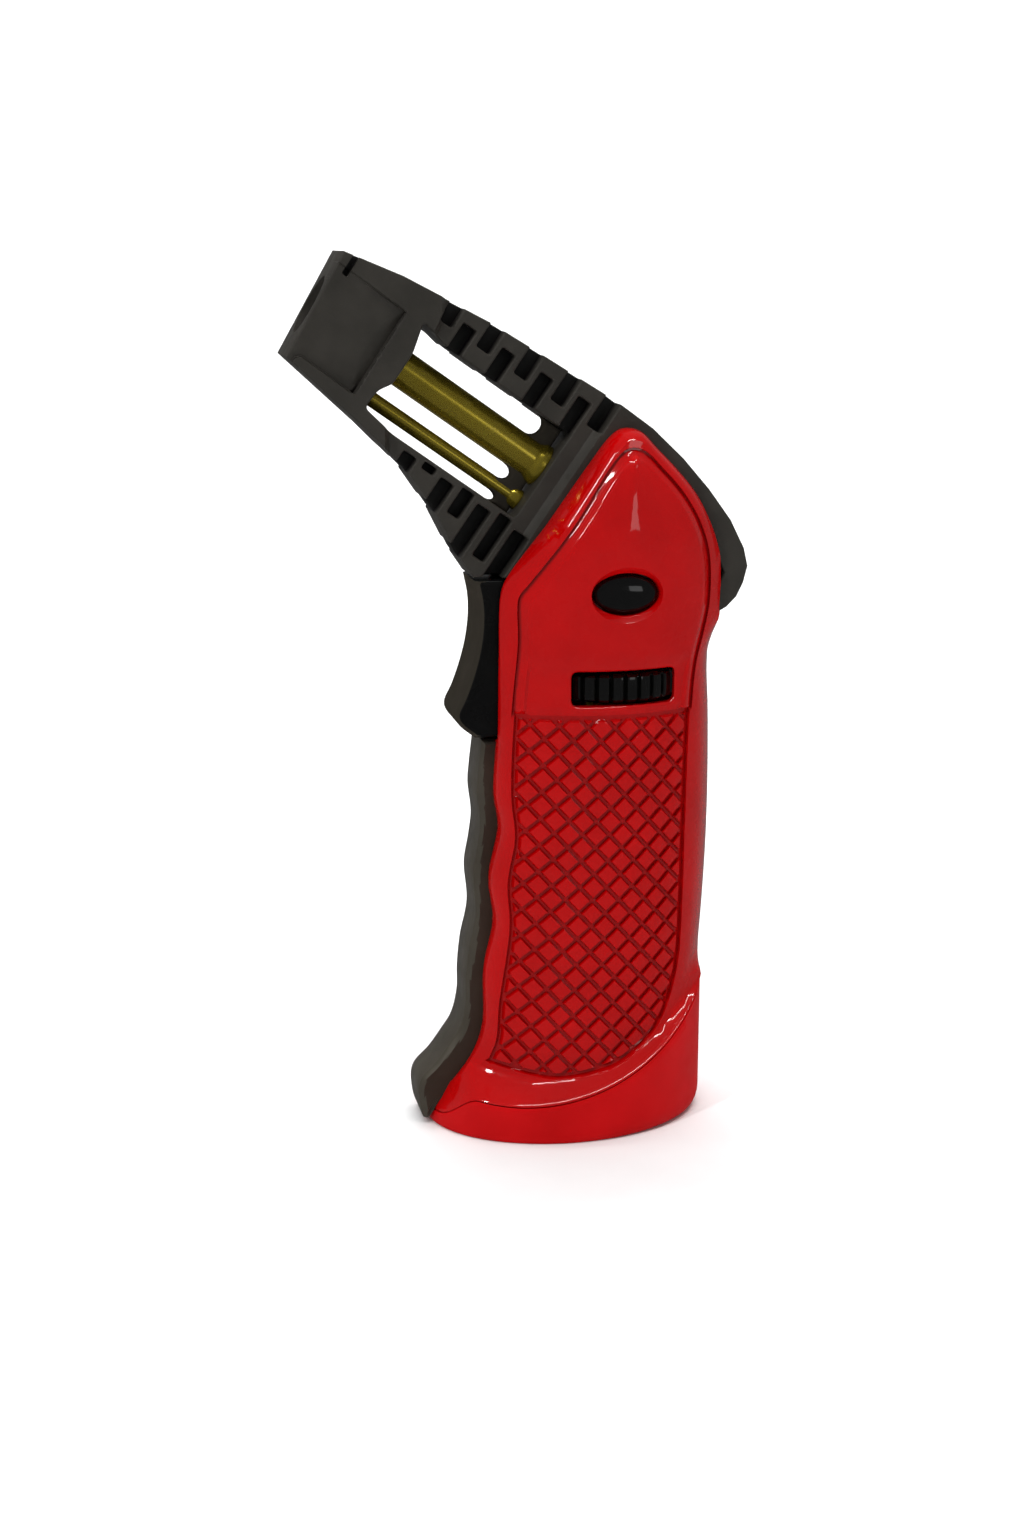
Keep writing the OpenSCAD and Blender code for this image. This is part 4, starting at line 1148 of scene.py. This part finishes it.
make_tube("burner_tube", BURNER_R, 0.4, NOZZLE_BACK_U + 0.2, TUBE_END_U - NOZZLE_BACK_U - 0.2,
          0, 72)
make_tube("ignition_conduit", CONDUIT_R, 0.5, -27, TUBE_END_U + 27, -TUBE_PITCH, 48)
make_brass("burner_collar", [(BURNER_R, 0), (BURNER_R + 0.15, 0), (BURNER_R + 0.3, 0.5),
                             (BURNER_R + 0.65, 1.0), (BURNER_R + 0.7, 1.3), (BURNER_R + 0.7, 2.3),
                             (BURNER_R, 2.3)], WINDOW_END_U - 2.4, 0, 72)
make_brass("conduit_collar", [(CONDUIT_R, 0), (CONDUIT_R + 0.2, 0), (CONDUIT_R + 0.6, 0.7),
                              (CONDUIT_R + 0.6, 2.1), (CONDUIT_R, 2.1)], WINDOW_END_U - 2.2,
           -TUBE_PITCH, 48)

# ---- the bracket ----
BRACKET_U = (7.4, 12.9)
BRACKET_V = (-10.7, 7.5)
BRACKET_HALF = 1.15
BRACKET_ROUND = 0.6
# (middle, half width) across the tubes of the hollows in its front edge
SCALLOPS = [(-9.8, 0.9), (-4.8, 1.4), (5.45, 2.05)]
SCALLOP_DEPTH = 2.0


def make_bracket():
    """The web that holds the two tubes at the grip end of the window."""
    front_u, back_u = BRACKET_U
    low_v, top_v = BRACKET_V
    edge = [(back_u, top_v), (back_u, low_v), (front_u, low_v)]
    for centre, half in SCALLOPS:
        turns = [math.pi * k / 8 for k in range(9)]
        edge += [(front_u + SCALLOP_DEPTH * math.sin(t), centre - half * math.cos(t))
                 for t in turns]
    edge += [(front_u, top_v)]
    outline = straight_loop([uv(u, v) for u, v in edge], 0.6)
    plan = Plan(outline)
    plan.rows(outline, (0.15, 0.4, 0.8))
    plan.fill(0.9)

    def outer(x, z):
        cut = np.clip(1 - distance(x, z, outline) / BRACKET_ROUND, 0, 1)
        return BRACKET_HALF - BRACKET_ROUND * (1 - np.sqrt(1 - cut**2))

    bm = plan.solid(outer, lambda x, z: -outer(x, z), -1)
    piece("tube_bracket", bm, "housing", [TRIGGER_FRONT])


make_bracket()

# ---- the floor and the light; lengths here are metres ----
FLOOR_REACH = 3.0
FLOOR_BEND = 0.9
FLOOR_STEPS = 16
WALL_Y = 1.6
WALL_TOP = 3.5
WORLD_STRENGTH = 0.18


def make_stage():
    """A floor that bends up into a wall behind the object."""
    bm = bmesh.new()
    bend_y = WALL_Y - FLOOR_BEND
    profile = [(-FLOOR_REACH, 0.0), (0.0, 0.0), (bend_y, 0.0)]
    profile += [(bend_y + FLOOR_BEND * math.sin(t), FLOOR_BEND * (1 - math.cos(t)))
                for t in (math.pi / 2 * k / FLOOR_STEPS for k in range(1, FLOOR_STEPS + 1))]
    profile += [(WALL_Y, WALL_TOP)]
    rows = [[bm.verts.new((x, y, z)) for y, z in profile] for x in (-FLOOR_REACH, 0, FLOOR_REACH)]
    for here, there in zip(rows, rows[1:]):
        for k in range(len(profile) - 1):
            bm.faces.new([here[k], there[k], there[k + 1], here[k + 1]])
    for face in bm.faces:
        face.smooth = True
    mesh = bpy.data.meshes.new("floor")
    bm.to_mesh(mesh)
    bm.free()
    mesh.materials.append(PALE_FLOOR)
    floor = bpy.data.objects.new("floor", mesh)
    bpy.context.scene.collection.objects.link(floor)
    floor.visible_glossy = False


def area_light(name, place, target, size, power, mirrored=True):
    """A rectangle of light. Glossy faces don't reflect it unless it is mirrored."""
    data = bpy.data.lights.new(name, "AREA")
    data.shape = "RECTANGLE"
    data.size, data.size_y = size
    data.energy = power
    light = bpy.data.objects.new(name, data)
    light.visible_glossy = mirrored
    light.location = place
    light.rotation_euler = (Vector(target) - Vector(place)).to_track_quat("-Z", "Y").to_euler()
    bpy.context.scene.collection.objects.link(light)


def make_light():
    world = bpy.data.worlds.new("world")
    bpy.context.scene.world = world
    world.use_nodes = True
    background = world.node_tree.nodes["Background"]
    background.inputs["Color"].default_value = (1, 1, 1, 1)
    background.inputs["Strength"].default_value = WORLD_STRENGTH
    aim = (0, 0, 0.085)
    area_light("key", (-0.75, -0.55, 0.75), aim, (0.06, 0.42), 4.0)
    area_light("fill", (0.9, -0.7, 0.5), aim, (0.3, 0.8), 0.9, mirrored=False)
    area_light("strip", (0.05, -0.36, 1.15), aim, (0.8, 0.05), 4.0)
    area_light("glint", (0.42, -0.95, 0.2), aim, (0.25, 0.25), 0.35)
    area_light("top", (0.1, 0.25, 1.3), (0, 0.15, 0.0), (1.2, 1.0), 9, mirrored=False)
    area_light("back", (0.0, 0.35, 1.3), (0, 1.6, 0.5), (2.4, 0.5), 26, mirrored=False)
    bpy.context.scene.view_settings.view_transform = "Standard"


make_stage()
make_light()
